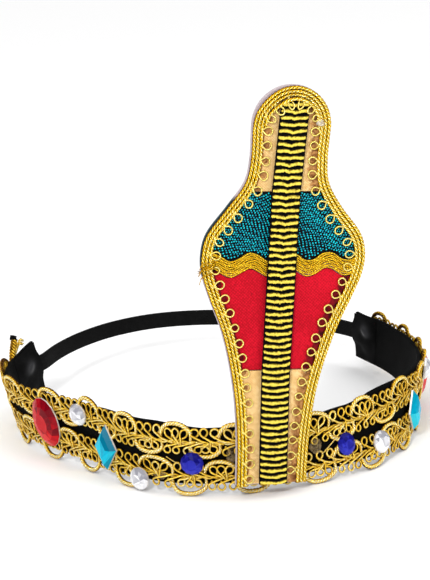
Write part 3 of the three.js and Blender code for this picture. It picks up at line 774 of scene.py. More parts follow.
def cut_stone(name, cut, along, up, share):
    """A stone cut from a cylinder by insets of its top, each tier turned against the one below."""
    width, height, sides, turn, rim, tiers = STONE_CUTS[cut]
    bpy.ops.object.select_all(action="DESELECT")
    bpy.ops.mesh.primitive_cylinder_add(vertices=sides, radius=1, depth=rim, location=(0, 0, rim / 2))
    stone = bpy.context.object
    stone.name = name
    bpy.ops.object.transform_apply(location=True, rotation=False, scale=False)
    bpy.ops.object.mode_set(mode="EDIT")
    bpy.ops.mesh.select_mode(type="FACE")
    bpy.ops.mesh.select_all(action="DESELECT")
    bpy.ops.object.mode_set(mode="OBJECT")
    for face in stone.data.polygons:
        face.select = face.normal.z > 0.9
    bpy.ops.object.mode_set(mode="EDIT")
    for inset, rise in tiers:
        bpy.ops.mesh.inset(thickness=inset * math.cos(math.pi / sides), depth=rise, use_even_offset=True)
        if turn:
            bpy.ops.transform.rotate(value=math.radians(turn), orient_axis="Z",
                                     center_override=(0, 0, 0))
    bpy.ops.mesh.select_all(action="SELECT")
    bpy.ops.mesh.quads_convert_to_tris(quad_method="SHORTEST_DIAGONAL")
    bpy.ops.object.mode_set(mode="OBJECT")
    tone = stone.data.attributes.new("face_tone", "FLOAT", "FACE")
    chance = random.Random(name)
    # Painted reflections on the facets: each face is painted lighter or darker by which way it faces, up
    # the band or along it, with a random part.
    sideways = 0.12 if cut == "round" else 0.4
    for index, face in enumerate(stone.data.polygons):
        lie = 0.45 * face.normal.y + sideways * face.normal.x
        tone.data[index].value = 0.5 - lie + chance.uniform(-FACET_UNEVEN, FACET_UNEVEN)
        face.material_index = 1 if face.center.z < rim * 0.9 else 0
    seat = np.eye(4)
    for column, table in enumerate((band_wall.run, band_wall.up, band_wall.out)):
        seat[:3, column] = band_wall.at(along, table)
    seat[:3, 3] = band_wall.place(along, up, STONE_BACK)
    stretch = Matrix.Diagonal((width / 2 * share[0], height / 2 * share[1], 1, 1))
    stone.data.transform(Matrix.Scale(MM, 4) @ Matrix(seat.tolist()) @ stretch)
    return stone


for name, cut, slot, left, right in STONES:
    for suffix, along, up in (("left", -left[0], left[1]), ("right", right[0], right[1])):
        title = f"stone_{name[4:]}_{suffix}"
        stone = cut_stone(title, cut, along, up, SMALLER_STONES.get(title, (1.0, 1.0)))
        dress(stone, stone_finishes[slot], slot, f"{name}_{suffix}")
        stone.data.materials.append(stone_finishes[slot] if slot == "blue_stone" else silver_foil)


# Plaque board
# A stiff board cut to the outline of a cobra's raised hood and stood in front of the band. It is
# wrapped in pale felt, with the teal cloth of the hood folded round its edge.
PLAQUE_CLEARANCE = 2.3
PLAQUE_FOOT_X = -1.0
PLAQUE_SIDE_TILT = 6.2
PLAQUE_LEAN_BACK = 1.0
BOARD_THICKNESS = 3.6
CROWN_STEPS = 40
# Height above the foot, and how far the hood reaches to the left and to the right of its middle (mm).
HOOD_SECTIONS = [
    (0, 14.2, 13.8), (20, 15.0, 14.0), (40, 17.5, 16.0), (60, 22.4, 21.4), (75, 28.6, 27.6),
    (84, 31.8, 31.0), (92, 32.5, 31.8), (100, 30.5, 29.3), (110, 23.2, 21.2), (119, 17.1, 15.7),
    (128, 15.4, 14.5), (140.5, 15.4, 15.0),
]
FOOT_RISE = 1.0
BOARD_EDGE = 1.3
BOARD_TAPER = 0.75
# Heights above the foot between which the teal cloth is folded round the board (mm).
TEAL_WRAP = (88.0, 116.0)

plaque_foot = band_wall.place(0.0, 0.0, PLAQUE_CLEARANCE) + np.array([PLAQUE_FOOT_X, 0, 0])
plaque_turn = np.array(Matrix.Rotation(math.radians(PLAQUE_SIDE_TILT), 3, "Y")
                       @ Matrix.Rotation(-math.radians(PLAQUE_LEAN_BACK), 3, "X"))
plaque_front = plaque_turn @ np.array([0.0, -1.0, 0.0])


def on_plaque(across, height, depth):
    """Points at distances across the plaque, up it and in front of its back."""
    across, height, depth = np.broadcast_arrays(across, height, depth)
    return plaque_foot + np.stack([across, -depth, height], -1) @ plaque_turn.T


def hood_outline(inset_right, inset_left):
    """The hood's edge from the right foot over the crown to the left foot, moved in by an inset that
    may change from one foot to the other."""
    heights, left, right = np.transpose(HOOD_SECTIONS)
    right_side = smooth_curve(np.column_stack([right, np.maximum(heights, FOOT_RISE)]), 8, 0)
    left_side = smooth_curve(np.column_stack([-left, heights]), 8, 0)
    half, middle = (right[-1] + left[-1]) / 2, (right[-1] - left[-1]) / 2
    turn = np.linspace(0, math.pi, CROWN_STEPS)[1:-1]
    crown = np.column_stack([middle + half * np.cos(turn), heights[-1] + half * np.sin(turn)])
    edge = np.vstack([right_side, crown, left_side[::-1]])
    run = unit(np.gradient(edge, axis=0))
    inset = np.linspace(inset_right, inset_left, len(edge))[:, None]
    return edge + np.column_stack([-run[:, 1], run[:, 0]]) * inset


edge = hood_outline(0.0, 0.0)
bpy.ops.object.select_all(action="DESELECT")
bpy.ops.mesh.primitive_circle_add(vertices=len(edge), radius=1, fill_type="NGON")
plaque_board = bpy.context.object
plaque_board.name = "plaque_board"
front = on_plaque(edge[:, 0], edge[:, 1], BOARD_THICKNESS) * MM
plaque_board.data.vertices.foreach_set("co", front.ravel())
plaque_board.data.update()
bpy.ops.object.mode_set(mode="EDIT")
bpy.ops.mesh.select_all(action="SELECT")
inward = tuple(-plaque_front * BOARD_EDGE * MM)
bpy.ops.mesh.extrude_region_move(TRANSFORM_OT_translate={"value": inward})
bpy.ops.mesh.select_all(action="SELECT")
bpy.ops.mesh.normals_make_consistent(inside=False)
bpy.ops.mesh.select_mode(type="FACE")
bpy.ops.mesh.select_all(action="DESELECT")
bpy.ops.object.mode_set(mode="OBJECT")
for face in plaque_board.data.polygons:
    face.select = face.normal.dot(Vector(plaque_front)) < -0.9
bpy.ops.object.mode_set(mode="EDIT")
bpy.ops.mesh.inset(thickness=BOARD_TAPER * MM, depth=(BOARD_THICKNESS - BOARD_EDGE) * MM)
bpy.ops.object.mode_set(mode="OBJECT")
round_edges(plaque_board, 0.5, 3, 50)

board_wrap, start = begin_finish("board_wrap", {"Sheen Weight": 0.3, "Specular IOR Level": 0.2})
place = start.place()
felt = place.noise(1400.0, 4.0, 0.7)
height = place.axis("Z") + place.noise(150.0, 3.0) * 0.004
wrap_low, wrap_high = ((CLOTH_EDGE + edge) * MM for edge in TEAL_WRAP)
wrapped = height.clear(wrap_low, wrap_low + 0.001) * (1 - height.clear(wrap_high, wrap_high + 0.002))
pale = felt.between(srgb(150, 132, 134), srgb(214, 200, 204))
teal = felt.between(srgb(2, 16, 20), srgb(8, 62, 74))
feed(board_wrap, {
    "Base Color": wrapped.between(pale, teal),
    "Roughness": 0.75 + felt * 0.2,
    "Normal": felt.bump(0.4, 0.0003),
})
dress(plaque_board, board_wrap, "board_wrap", "cobra_board")


# Cloth panels of the hood
# Four cloths are laid on the board edge to edge: fine beige at the foot and under the crown, red
# below the hood and black across it. Glue has soaked into them beside the edge cords.
EDGE_CORD_WIDTH = 4.2
TUCKED_UNDER = 0.2
PANEL_BACK = BOARD_THICKNESS + 0.3
PANEL_THICKNESS = 1.0
PANEL_PUFF = 0.22
RED_TO_BEIGE = 46.6
BEIGE_TO_TEAL = 115.7
WAVE_MIDDLE = 87.9
WAVE_WIDTH = 6.3
WAVE_AMPLITUDE = 1.6
WAVE_LENGTH = 15.2
WAVE_CREST = -13.3
WAVE_MARGIN = 0.3
HALF_SEAM = 0.15
SOAK_LEFT = 1.4
SOAK_RIGHT = 5.0
GLUE_SPOT = 1.9
# Heights between which glue shows only inside the loops on the left (mm).
CLEAN_LEFT = (22, 46)
LOOP_LINE_RIGHT = 5.2
LOOP_LINE_LEFT = 3.1
LOOP_START = 5.4
LOOP_STEP_RIGHT = 5.89
LOOP_STEP_CROWN = 5.41
LOOP_STEP_LEFT = 6.05
# Height above which the loops keep the crown's step, and how far in the glue inside a loop lies (mm).
CROWN_LOOPS = 118
LOOP_GLUE = 1.6

# At the crown's left shoulder the cloth and the cords lie in from the board's edge, whose wrap shows.
SHOULDER_INSET = 0.85
SHOULDER_SPREAD = 0.65
CROWN_MIDDLE = 140.5


def shoulder_in(line):
    """A line round the hood, moved in at the crown's left shoulder."""
    turn = np.arctan2(line[:, 1] - CROWN_MIDDLE, -line[:, 0])
    share = np.exp(-((turn - math.pi / 4) / SHOULDER_SPREAD) ** 2)
    return line + share[:, None] * SHOULDER_INSET * np.array([math.sqrt(0.5), -math.sqrt(0.5)])


panel_inset = EDGE_CORD_WIDTH - TUCKED_UNDER
panel_edge = shoulder_in(hood_outline(panel_inset, panel_inset))
panel_crown = np.argmax(panel_edge[:, 1])
panel_right = panel_edge[:panel_crown][np.argsort(panel_edge[:panel_crown, 1])]
panel_left = panel_edge[panel_crown:][np.argsort(panel_edge[panel_crown:, 1])]
panel_top = panel_edge[:, 1].max()

# Places of the picot loops, which are glued on the cloth beside the cords.
loop_line = spaced(shoulder_in(hood_outline(LOOP_LINE_RIGHT, LOOP_LINE_LEFT)), 0.5)
loop_lengths = lengths(loop_line)
loop_run = unit(np.gradient(loop_line, axis=0))
loop_inward = np.column_stack([-loop_run[:, 1], loop_run[:, 0]])
loop_places = []
along = LOOP_START
while along < loop_lengths[-1] - 2:
    loop_places.append(along)
    across, height = read_along(along, loop_lengths, loop_line)
    side_step = LOOP_STEP_RIGHT if across > 0 else LOOP_STEP_LEFT
    along += LOOP_STEP_CROWN if height > CROWN_LOOPS else side_step
loop_spots = read_along(loop_places, loop_lengths, loop_line + LOOP_GLUE * loop_inward)


def panel_ends(height):
    """Where a cloth meets the edge cords on the left and on the right at a height."""
    return np.interp(height, *panel_left.T[::-1]), np.interp(height, *panel_right.T[::-1])


def wave_line(across):
    return WAVE_MIDDLE + WAVE_AMPLITUDE * np.cos(2 * math.pi * (across - WAVE_CREST) / WAVE_LENGTH)


def level(height):
    return lambda across: np.full_like(across, height)


def panel_surface(lower, upper, across, height):
    """Depth of a cloth's face: crowned a little, and drawn in at its seams."""
    left, right = panel_ends(height)
    side = (2 * across - left - right) / (right - left)
    up = (height - lower(across)) / (upper(across) - lower(across))
    rim = (1 - np.clip(np.abs(side), 0, 1) ** 8) * (1 - np.clip(np.abs(2 * up - 1), 0, 1) ** 10)
    crease = 0.1 * np.sin(height / 3.1 + 0.4 * across) * np.sin(across / 2.7 + height / 9)
    return PANEL_BACK + 0.55 + (PANEL_PUFF + crease) * rim


def cloth_panel(name, lower, upper, columns, rows):
    """A cloth between two seams, with its distance from the edge cords kept as how far glue soaks in."""
    soak = []

    def lay(across, up):
        x = 0 * across
        for _ in range(4):
            z = lower(x) + (upper(x) - lower(x)) * up
            left, right = panel_ends(z)
            x = left + (right - left) * across
        sides = np.maximum(1 - (x - left) / SOAK_LEFT, 1 - (right - x) / SOAK_RIGHT)
        spots = np.hypot(x[:, None] - loop_spots[:, 0], z[:, None] - loop_spots[:, 1]).min(axis=1)
        low, high = CLEAN_LEFT
        fade = np.interp(z, (low - 3, low + 1, high - 0.5, high + 0.5), (0, 1, 1, 0))
        clean = np.where(x < 0, fade, 0)
        soak.append(np.maximum(sides * (1 - clean), 0.85 - 0.2 * clean - (spots / GLUE_SPOT) ** 2))
        return on_plaque(x, z, panel_surface(lower, upper, x, z))

    piece = laid_grid(name, columns, rows, lay)
    piece.data.attributes.new("soak", "FLOAT", "POINT").data.foreach_set("value", np.clip(soak[0], 0, 1))
    finish_sheet(piece, PANEL_THICKNESS * 0.5, 0.2)
    return piece


def cloth_finish(name, light, dark, stain, pale_stain, threads, plain):
    """A woven cloth with a glue stain along its sides."""
    material, start = begin_finish(name, plain)
    place = start.place()
    soak = start.mark("soak")
    lie = weave(place.axis("X") * (1 / MM), place.axis("Z") * (1 / MM), threads)
    grain = place.noise(1100.0, 3.0, 0.6)
    cloud = place.noise(80.0, 3.0)
    blot = place.noise(330.0, 3.0, 0.65)
    tone = lie * 0.12 + grain * 0.6 + cloud * 0.4
    speck = place.noise(760.0, 2.0, 0.6)
    wet = (soak + blot * 1.1 + speck * 0.9 - 1.0).clear(0.2, 0.5)
    cloth = tone.clear(0.38, 0.66).between(dark, light)
    glued = (blot * 0.5 + speck * 0.5).clear(0.36, 0.64).between(stain, pale_stain)
    feed(material, {
        "Base Color": wet.between(cloth, glued),
        "Roughness": 0.6 + grain * 0.3 - wet * 0.2,
        "Normal": (lie * 0.5 + grain).bump(0.3, 0.0002),
    })
    return material


beige_cloth = cloth_finish("beige_cloth", srgb(253, 219, 156), srgb(222, 174, 104), srgb(104, 54, 16),
                           srgb(202, 146, 84), 2.0, {"Specular IOR Level": 0.2})
red_cloth = cloth_finish("red_cloth", srgb(214, 18, 42), srgb(176, 8, 28), srgb(48, 2, 8),
                         srgb(132, 10, 24), 1.6, {"Specular IOR Level": 0.1})
teal_cloth = cloth_finish("teal_cloth", srgb(6, 10, 12), srgb(2, 4, 6), srgb(2, 4, 6),
                          srgb(4, 14, 18), 1.6, {"Specular IOR Level": 0.1})


def below_wave(across):
    return wave_line(across) - WAVE_WIDTH / 2 - WAVE_MARGIN


def above_wave(across):
    return wave_line(across) + WAVE_WIDTH / 2 + WAVE_MARGIN


# Piece, node, slot, finish, columns and rows of its grid, and its lower and upper seam.
PANELS = [
    ("beige_foot", "panel_beige_bottom", "beige_cloth", beige_cloth, 44, 60,
     level(FOOT_RISE), level(RED_TO_BEIGE - HALF_SEAM)),
    ("red_panel", "panel_red", "red_cloth", red_cloth, 70, 50,
     level(RED_TO_BEIGE + HALF_SEAM), below_wave),
    ("teal_panel", "panel_teal", "teal_cloth", teal_cloth, 70, 40,
     above_wave, level(BEIGE_TO_TEAL - HALF_SEAM)),
    ("beige_crown", "panel_beige_top", "beige_cloth", beige_cloth, 44, 50,
     level(BEIGE_TO_TEAL + HALF_SEAM), level(panel_top - 0.05)),
]
for name, node, slot, material, columns, rows, lower, upper in PANELS:
    panel = cloth_panel(name, lower, upper, columns, rows)
    dress(panel, material, slot, node)
    heights = np.linspace(lower(np.zeros(1))[0], upper(np.zeros(1))[0], 200)
    left, right = panel_ends(heights)


# Teal dots
# The black cloth across the hood is covered with small raised dots of teal glitter, set on it by the
# cloth's maker in close rows that swirl.
DOT_STEP = 1.06
DOT_ROW = 0.93
DOT_RADIUS = 0.35
DOT_HEIGHT = 0.2
DOT_UNEVEN = 0.07
DOT_SIDES = 6
DOT_SEED = 5
# The dots' field before it is cut to the cloth, and the strip under the ribbon that has none (mm).
FIELD_WIDTH = (-45.0, 45.0)
FIELD_HEIGHT = (70.0, 130.0)
RIBBON_WIDTH = 11.4
RIBBON_ASIDE = 0.7

rows = np.arange(*FIELD_HEIGHT, DOT_ROW)
columns = np.arange(*FIELD_WIDTH, DOT_STEP)
x, z = np.meshgrid(columns, rows)
x = x + (np.arange(len(rows)) % 2)[:, None] * DOT_STEP / 2
x, z = (x + 1.7 * np.sin(z / 7.5 + x / 17) + 0.6 * np.sin(z / 3.1 + x / 5)
        + 0.13 * np.sin(x * 7.1 + z * 5.3),
        z + 2.0 * np.sin(x / 9.0 + 0.7) + 0.9 * np.sin(x / 4.3 + z / 8)
        + 0.13 * np.sin(x * 4.7 - z * 6.1))
left, right = panel_ends(z)
inside = ((x > left + 0.2) & (x < right - 0.2) & (z > above_wave(x) + DOT_RADIUS)
          & (z < BEIGE_TO_TEAL - DOT_RADIUS) & (np.abs(x + RIBBON_ASIDE) > RIBBON_WIDTH / 2 - 1))
x, z = x[inside], z[inside]
uneven = np.random.default_rng(DOT_SEED).uniform(-DOT_UNEVEN, DOT_UNEVEN, (2, len(x)))
x, z = x + uneven[0], z + uneven[1]
depth = panel_surface(above_wave, level(BEIGE_TO_TEAL - HALF_SEAM), x, z)
turn = np.arange(DOT_SIDES) * (2 * math.pi / DOT_SIDES)
rings = []
for share, rise in ((1.0, -0.05), (0.72, DOT_HEIGHT), (0.0, DOT_HEIGHT * 1.3)):
    radius = share * DOT_RADIUS
    rings.append(on_plaque(x[:, None] + radius * np.cos(turn), z[:, None] + radius * np.sin(turn),
                           depth[:, None] + rise))
corners = np.concatenate([rings[0], rings[1], rings[2][:, :1]], axis=1)
count = 2 * DOT_SIDES + 1
faces = []
for dot in range(len(x)):
    first = dot * count
    for j in range(DOT_SIDES):
        k = (j + 1) % DOT_SIDES
        faces.append([first + j, first + k, first + DOT_SIDES + k, first + DOT_SIDES + j])
        faces.append([first + DOT_SIDES + j, first + DOT_SIDES + k, first + 2 * DOT_SIDES])
mesh = bpy.data.meshes.new("teal_dots")
mesh.from_pydata((corners.reshape(-1, 3) * MM).tolist(), [], faces)
chance = random.Random("teal_dots")
tones = np.repeat([chance.random() for _ in range(len(x))], 2 * DOT_SIDES)
mesh.attributes.new("tone", "FLOAT", "FACE").data.foreach_set("value", tones)
teal_dots = bpy.data.objects.new("teal_dots", mesh)
bpy.context.collection.objects.link(teal_dots)

teal_glitter, start = begin_finish("teal_glitter", {"Roughness": 0.4, "Specular IOR Level": 0.25})
tone = start.mark("tone")
place = start.place()
spark = tone * 0.6 + place.noise(900.0, 2.0) * 0.4
feed(teal_glitter, {"Base Color": spark.clear(0.1, 0.9).between(srgb(0, 134, 160), srgb(18, 222, 236))})
dress(teal_dots, teal_glitter, "teal_cloth")


# Gold wave
# A flat wavy braid of eight twisted metallic strands is glued over the seam between the red and the
# teal cloth. Its left end is cut short of the edge and a few fibres stick out over the cords.
WAVE_STRANDS = 8
STRAND_PITCH = 1.3
STRAND_RADIUS = 0.36
FRAYED = 12
FRAYED_HEIGHTS = (84.5, 90)
FIBRE_RADIUS = 0.11
wave_left, wave_right = panel_ends(WAVE_MIDDLE)
strands, tones = [], []
for k in range(WAVE_STRANDS):
    offset = (k + 0.5) / WAVE_STRANDS * WAVE_WIDTH - WAVE_WIDTH / 2
    x = np.linspace(wave_left - 0.5, wave_right + 0.5, 200)
    z = wave_line(x) + offset + 0.1 * np.sin(x * 1.3 + k * 2)
    path = spaced(on_plaque(x, z, PANEL_BACK + 0.8 + 0.12 * np.sin(x * 0.7 + k * 1.9)), STRAND_PITCH / 7)
    plies, crests = twisted(path, plaque_front, STRAND_RADIUS, STRAND_PITCH, 2, 5, 0.37 * k)
    strands += plies
    # Painted highlight: each strand's plies are lighter where they come to the front.
    tones += [0.1 * crest + 0.1 for crest in crests]
chance = random.Random("wave_braid")
for _ in range(FRAYED):
    height = chance.uniform(*FRAYED_HEIGHTS)
    ends = [(-27.5, height), (-30.5, height - 0.4), (-32.6, height - chance.uniform(0.5, 2.0)),
            (-33.6 + chance.uniform(-0.6, 0.8), height - chance.uniform(1.5, 4.0))]
    line = smooth_curve(ends, 4, 0)
    depth = PANEL_BACK + 1.5 + np.linspace(0, 0.5, len(line)) + chance.uniform(0, 0.5)
    path = on_plaque(line[:, 0], line[:, 1], depth)
    strands.append(tube(path, plaque_front, FIBRE_RADIUS, 4))
    tones.append(chance.uniform(-0.2, 0.1))
wave_gold = gold_finish("wave_gold", srgb(84, 40, 2), srgb(216, 152, 8), srgb(244, 194, 18),
                        srgb(255, 228, 70), 0.5)
dress(joined("wave_braid", strands, tones), wave_gold, "gold_braid", "gold_wave")


# Edge cords
# Three twisted gold cords are glued side by side round the plaque's edge, from foot to foot, and a
# fourth length inside them over the crown. Their plies carry a painted highlight where they come to the
# front.
EDGE_CORD_RADIUS = 0.72
EDGE_CORD_PITCH = 4.6
# The fourth length is lifted over the ribbon's end, which begins at a height and reaches to each side,
# and its own ends are tucked down (mm).
RIBBON_END = 140
RIBBON_REACH = 7.5
RIBBON_LIFT = 1.4
TUCK_DROP = 0.9
TUCK_LENGTH = 3
# Each cord's place in from the edge, its tone, how low it starts and ends, and how far it stands out.
EDGE_CORDS = [
    (0.7, -0.16, -9, 0.75), (2.1, -0.06, -9, 0.75), (3.5, -0.06, -9, 0.75), (4.75, -0.06, 139, 1.3),
]
cords, tones = [], []
for inset, pale, lowest, proud in EDGE_CORDS:
    line = shoulder_in(hood_outline(inset, inset))
    line = line[line[:, 1] > lowest]
    beside = 1 + (line[:, 0] / RIBBON_REACH) ** 12
    over_ribbon = np.clip((line[:, 1] - RIBBON_END) / 6, 0, 1) / beside * (lowest > 0)
    tucked = np.clip((lowest + TUCK_LENGTH - line[:, 1]) / TUCK_LENGTH, 0, 1)
    depth = PANEL_BACK + proud + RIBBON_LIFT * over_ribbon - TUCK_DROP * tucked
    path = spaced(on_plaque(line[:, 0], line[:, 1], depth), EDGE_CORD_PITCH / 10)
    plies, crests = twisted(path, plaque_front, EDGE_CORD_RADIUS, EDGE_CORD_PITCH, 3, 5, inset)
    cords += plies
    # Painted highlight: each ply is lighter where it comes to the front.
    tones += [pale + 0.6 * crest ** 3 - 0.08 for crest in crests]
gold_cord = gold_finish("gold_cord", srgb(84, 42, 0), srgb(228, 172, 6), srgb(252, 214, 20),
                        srgb(255, 250, 168), 0.5)
dress(joined("edge_cords", cords, tones), gold_cord, "gold_cord", "edge_cord")


# Picot loops
# A pale gold thread runs in beside the cords and throws a small closed loop over the cloth at every
# step. It is glued down, and its feet go under the cords.
PICOT_WIRE = 0.33
# How far the loops lie in at the crown, and out over the ribbon (mm).
CROWN_DIP = 1.1
LOOP_LIFT = 2.0
# One loop: along the cord, in from it, and proud of the cloth.
PICOT_STATIONS = [
    (-2.7, -2.0, -0.6), (-1.3, -1.1, -0.4), (0.3, 0.0, 0.35), (1.35, 1.2, 0.55), (1.3, 2.5, 0.45),
    (0.2, 3.25, 0.4), (-1.1, 2.7, 0.35), (-1.4, 1.4, 0.35), (-0.5, 0.1, 0.1), (1.0, -1.2, -0.5),
]
chance = random.Random("picot_loops")
stations = []
for shift in loop_places:
    size = chance.uniform(0.95, 1.12)
    shift += chance.uniform(-0.3, 0.3)
    stations += [(shift + along * size, into * size, proud) for along, into, proud in PICOT_STATIONS]
thread = smooth_curve(stations, 3, 0)
base = read_along(thread[:, 0], loop_lengths, loop_line)
aim = read_along(thread[:, 0], loop_lengths, loop_inward)
dip = CROWN_DIP * np.exp(-((base[:, :1] + 1) / 5.5) ** 2) * (base[:, 1:] > RIBBON_END)
flat = base + aim * (thread[:, 1:2] + dip * np.clip((thread[:, 1:2] + 1.0) / 2, 0, 1))
over_ribbon = 1 / (1 + (flat[:, 0] / RIBBON_REACH) ** 12)
over_ribbon *= np.clip((flat[:, 1] - RIBBON_END) / 4, 0, 1) * np.clip(thread[:, 1], 0, 1)
depth = PANEL_BACK + PANEL_THICKNESS + thread[:, 2] + LOOP_LIFT * over_ribbon
path = on_plaque(flat[:, 0], flat[:, 1], depth)
picot_gold = gold_finish("picot_gold", srgb(170, 128, 30), srgb(236, 206, 84), srgb(252, 236, 132),
                         srgb(255, 248, 190), 0.4)
picots = joined("picot_loops", [tube(path, plaque_front, PICOT_WIRE, 6)], [0.0])
dress(picots, picot_gold, "gold_cord")


# Centre ribbon
# A half-inch black ribbon is glued up the middle of the plaque, a little to the left of it between
# its ends. Thick fuzzy yellow cords cross it as ribs. They dip at its crease above and sag below.
RIBBON_FOOT = 1.3
RIBS = 60
RIB_PITCH = 2.48
RIB_BASE = PANEL_BACK + 1.4 + 0.3
RIB_HEIGHT = 0.8
RIB_ROWS = 12
RIBBON_COLUMNS = 28
# Middle of the ribbon from the plaque's own middle, at heights above the foot (mm).
RIBBON_MIDDLES = [(0, 0.0), (15, -0.6), (45, -1.5), (115, -1.5), (135, -0.5), (150, 0.3)]


def rib_share(side, height):
    """How far a place is from one rib to the next, from 0 to 1, with the ribs' dip, sag and wander."""
    rib = (height - RIBBON_FOOT) / RIB_PITCH
    upper = np.clip((height - 60) / 25, 0, 1)
    dip = upper * 0.22 * np.exp(-np.abs(side) * 5)
    sag = (1 - upper) * 0.34 * (1 - side**2)
    return np.mod(rib + dip + sag + 0.06 * np.sin(5 * side + np.floor(rib) * 2.3), 1.0)


def lay_ribbon(across, up):
    side = 2 * across - 1
    z = RIBBON_FOOT + up * RIBS * RIB_PITCH
    x = np.interp(z, *np.transpose(RIBBON_MIDDLES)) + side * RIBBON_WIDTH / 2
    crest = np.sin(math.pi * rib_share(side, z))
    rib_crests.append(crest * (1 - np.abs(side) ** 18))
    rib_shares.append(rib_share(side, z))
    return on_plaque(x, z, RIB_BASE + 0.6 + RIB_HEIGHT * crest * (1 - np.abs(side) ** 12))


rib_crests, rib_shares = [], []
ribbon = laid_grid("ribbed_ribbon", RIBBON_COLUMNS, RIBS * RIB_ROWS, lay_ribbon)
ribbon.data.attributes.new("rib", "FLOAT", "POINT").data.foreach_set("value", rib_crests[0])
ribbon.data.attributes.new("rib_share", "FLOAT", "POINT").data.foreach_set("value", rib_shares[0])
finish_sheet(ribbon, 0.55, 0.12)

ribbed_ribbon, start = begin_finish("ribbed_ribbon", {"Specular IOR Level": 0.08})
rib = start.mark("rib")
share = start.mark("rib_share")
place = start.place()
stretched = place.node("ShaderNodeVectorMath", {"operation": "MULTIPLY"}, {0: place, 1: (1.0, 1.0, 0.3)})
fibres = stretched.noise(1500.0, 3.0, 0.6)
fray = place.noise(700.0, 2.0)
yellow = (rib + fibres * 0.7 + fray * 0.6 - 0.65).clear(0.6, 0.76)
worn = share.clear(0.45, 0.8) * (fray + fibres * 0.6)
flecks = place.noise(1250.0, 2.0, 0.5)
fluff = (fibres * 0.6 + rib * 0.35 + flecks * 1.1 - worn * 0.6 - 0.42).clear(0.12, 0.78)
fluff = fluff.between(srgb(86, 70, 8), srgb(248, 222, 88))
feed(ribbed_ribbon, {
    "Base Color": yellow.between(srgb(2, 2, 3), fluff),
    "Roughness": 0.7 + fibres * 0.25,
    "Normal": (fibres + yellow * 0.4).bump(0.6, 0.0003),
})
dress(ribbon, ribbed_ribbon, "ribbed_ribbon", "centre_ribbon")


# Glue
# Drops of clear brownish glue have set between the braid rows beside the plaque and under a stone,
# and a milky one on the edge cords at the crown's right.
DROP_THICKNESS = 0.9
# Along the band, up it, and the drop's width and height (mm).
BAND_DROPS = [(19.4, 10.6, 5.4, 6.4), (-14.6, 12.2, 4.0, 7.0), (-43.0, 3.2, 6.0, 3.4)]
# Across the plaque, up it, and the drop's width and height (mm).
CORD_DROP = (10.6, 141.7, 3.4, 2.6)


def glue_finish(name, dark, light, body):
    """Set glue, clearer in some places than in others."""
    material, start = begin_finish(name, {"Roughness": 0.18, "Specular IOR Level": 0.3})
    place = start.place()
    cloudy = place.noise(500.0, 3.0)
    feed(material, {
        "Base Color": cloudy.clear(0.3, 0.7).between(dark, light),
        "Alpha": body + cloudy * 0.5,
        "Normal": place.noise(380.0, 2.0).bump(0.5, 0.0006),
    })
    return material


brown_glue = glue_finish("brown_glue", srgb(60, 46, 28), srgb(150, 126, 84), 0.2)
milky_glue = glue_finish("milky_glue", srgb(176, 162, 138), srgb(240, 232, 216), 0.35)


def glue_drop(name, seat, width, height, finish, slot):
    """A flattened drop on a seat, whose columns are across, up, out and the middle."""
    bpy.ops.object.select_all(action="DESELECT")
    bpy.ops.mesh.primitive_uv_sphere_add(segments=20, ring_count=12, radius=1)
    drop = bpy.context.object
    drop.name = name
    for corner in drop.data.vertices:
        wobble = 1 + 0.08 * math.sin(3 * math.atan2(corner.co.y, corner.co.x) + width)
        corner.co = (corner.co.x * wobble, corner.co.y * wobble, corner.co.z)
    seat_matrix = np.eye(4)
    seat_matrix[:3] = seat
    stretch = Matrix.Diagonal((width / 2, height / 2, DROP_THICKNESS / 2, 1))
    drop.data.transform(Matrix.Scale(MM, 4) @ Matrix(seat_matrix.tolist()) @ stretch)
    drop.data.polygons.foreach_set("use_smooth", np.ones(len(drop.data.polygons), bool))
    dress(drop, finish, slot)


for index, (along, up, width, height) in enumerate(BAND_DROPS):
    axes = [band_wall.at(along, table) for table in (band_wall.run, band_wall.up, band_wall.out)]
    seat = np.column_stack([*axes, band_wall.place(along, up, 1.2)])
    glue_drop(f"band_glue_{index}", seat, width, height, brown_glue, "gold_braid")
across, up, width, height = CORD_DROP
seat = np.column_stack([plaque_turn[:, 0], plaque_turn[:, 2], plaque_front,
                        on_plaque(across, up, PANEL_BACK + 1.5)])
glue_drop("cord_glue", seat, width, height, milky_glue, "gold_cord")


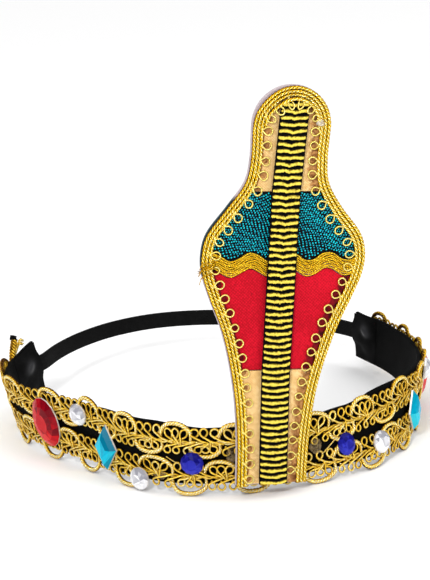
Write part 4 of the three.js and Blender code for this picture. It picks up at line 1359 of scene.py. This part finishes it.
# Studio
# A pale floor that the lowest arcs stand on, a soft bright sky with a dim horizon, and a camera at the
# photograph's angle.
TARGET = np.array([1.009, -5.534, 59.8]) * MM
DISTANCE = 0.8265
AZIMUTH = math.radians(-14.2)
ELEVATION = math.radians(16.4)
ROLL = math.radians(-3.1)
LENS = 122.3
FLOOR_SIZE = 12.0

bpy.ops.object.select_all(action="DESELECT")
bpy.ops.mesh.primitive_plane_add(size=FLOOR_SIZE)
floor = bpy.context.object
floor.name = "floor"
pale_floor, _ = begin_finish("pale_floor", {
    "Base Color": srgb(252, 252, 252), "Roughness": 0.9, "Specular IOR Level": 0.1})
floor.data.materials.append(pale_floor)

scene = bpy.context.scene
scene.view_settings.view_transform = "Standard"
world = bpy.data.worlds.new("studio")
world.use_nodes = True
start = Shade(world.node_tree, None)
height = start.node("ShaderNodeTexCoord", {}, {}, "Generated").axis("Z")
sky = height.clear(0.45, 0.9) * 1.5 + 0.17
world.node_tree.links.new(sky.socket, world.node_tree.nodes["Background"].inputs["Strength"])
world.node_tree.nodes["Background"].inputs["Color"].default_value = (1.0, 1.0, 1.0, 1.0)
scene.world = world


def soft_light(name, place, size, power):
    light = bpy.data.lights.new(name, "AREA")
    light.size = size
    light.energy = power
    lamp = bpy.data.objects.new(name, light)
    away = Vector(place) - Vector(TARGET.tolist())
    lamp.location = place
    lamp.rotation_euler = away.to_track_quat("Z", "Y").to_euler()
    bpy.context.collection.objects.link(lamp)


soft_light("key", (-0.55, -0.95, 0.85), 0.2, 8.0)
soft_light("fill", (0.8, -0.7, 0.5), 0.25, 2.5)

back = np.array([math.sin(AZIMUTH) * math.cos(ELEVATION), -math.cos(AZIMUTH) * math.cos(ELEVATION),
                 math.sin(ELEVATION)])
right = np.array([math.cos(AZIMUTH), math.sin(AZIMUTH), 0.0])
up = np.cross(back, right)
stand = np.eye(4)
stand[:3, 0] = math.cos(ROLL) * right + math.sin(ROLL) * up
stand[:3, 1] = math.cos(ROLL) * up - math.sin(ROLL) * right
stand[:3, 2] = back
stand[:3, 3] = TARGET + back * DISTANCE
lens = bpy.data.cameras.new("camera")
lens.lens = LENS
lens.clip_start = 0.01
camera = bpy.data.objects.new("camera", lens)
camera.matrix_world = Matrix(stand.tolist())
bpy.context.collection.objects.link(camera)
scene.camera = camera
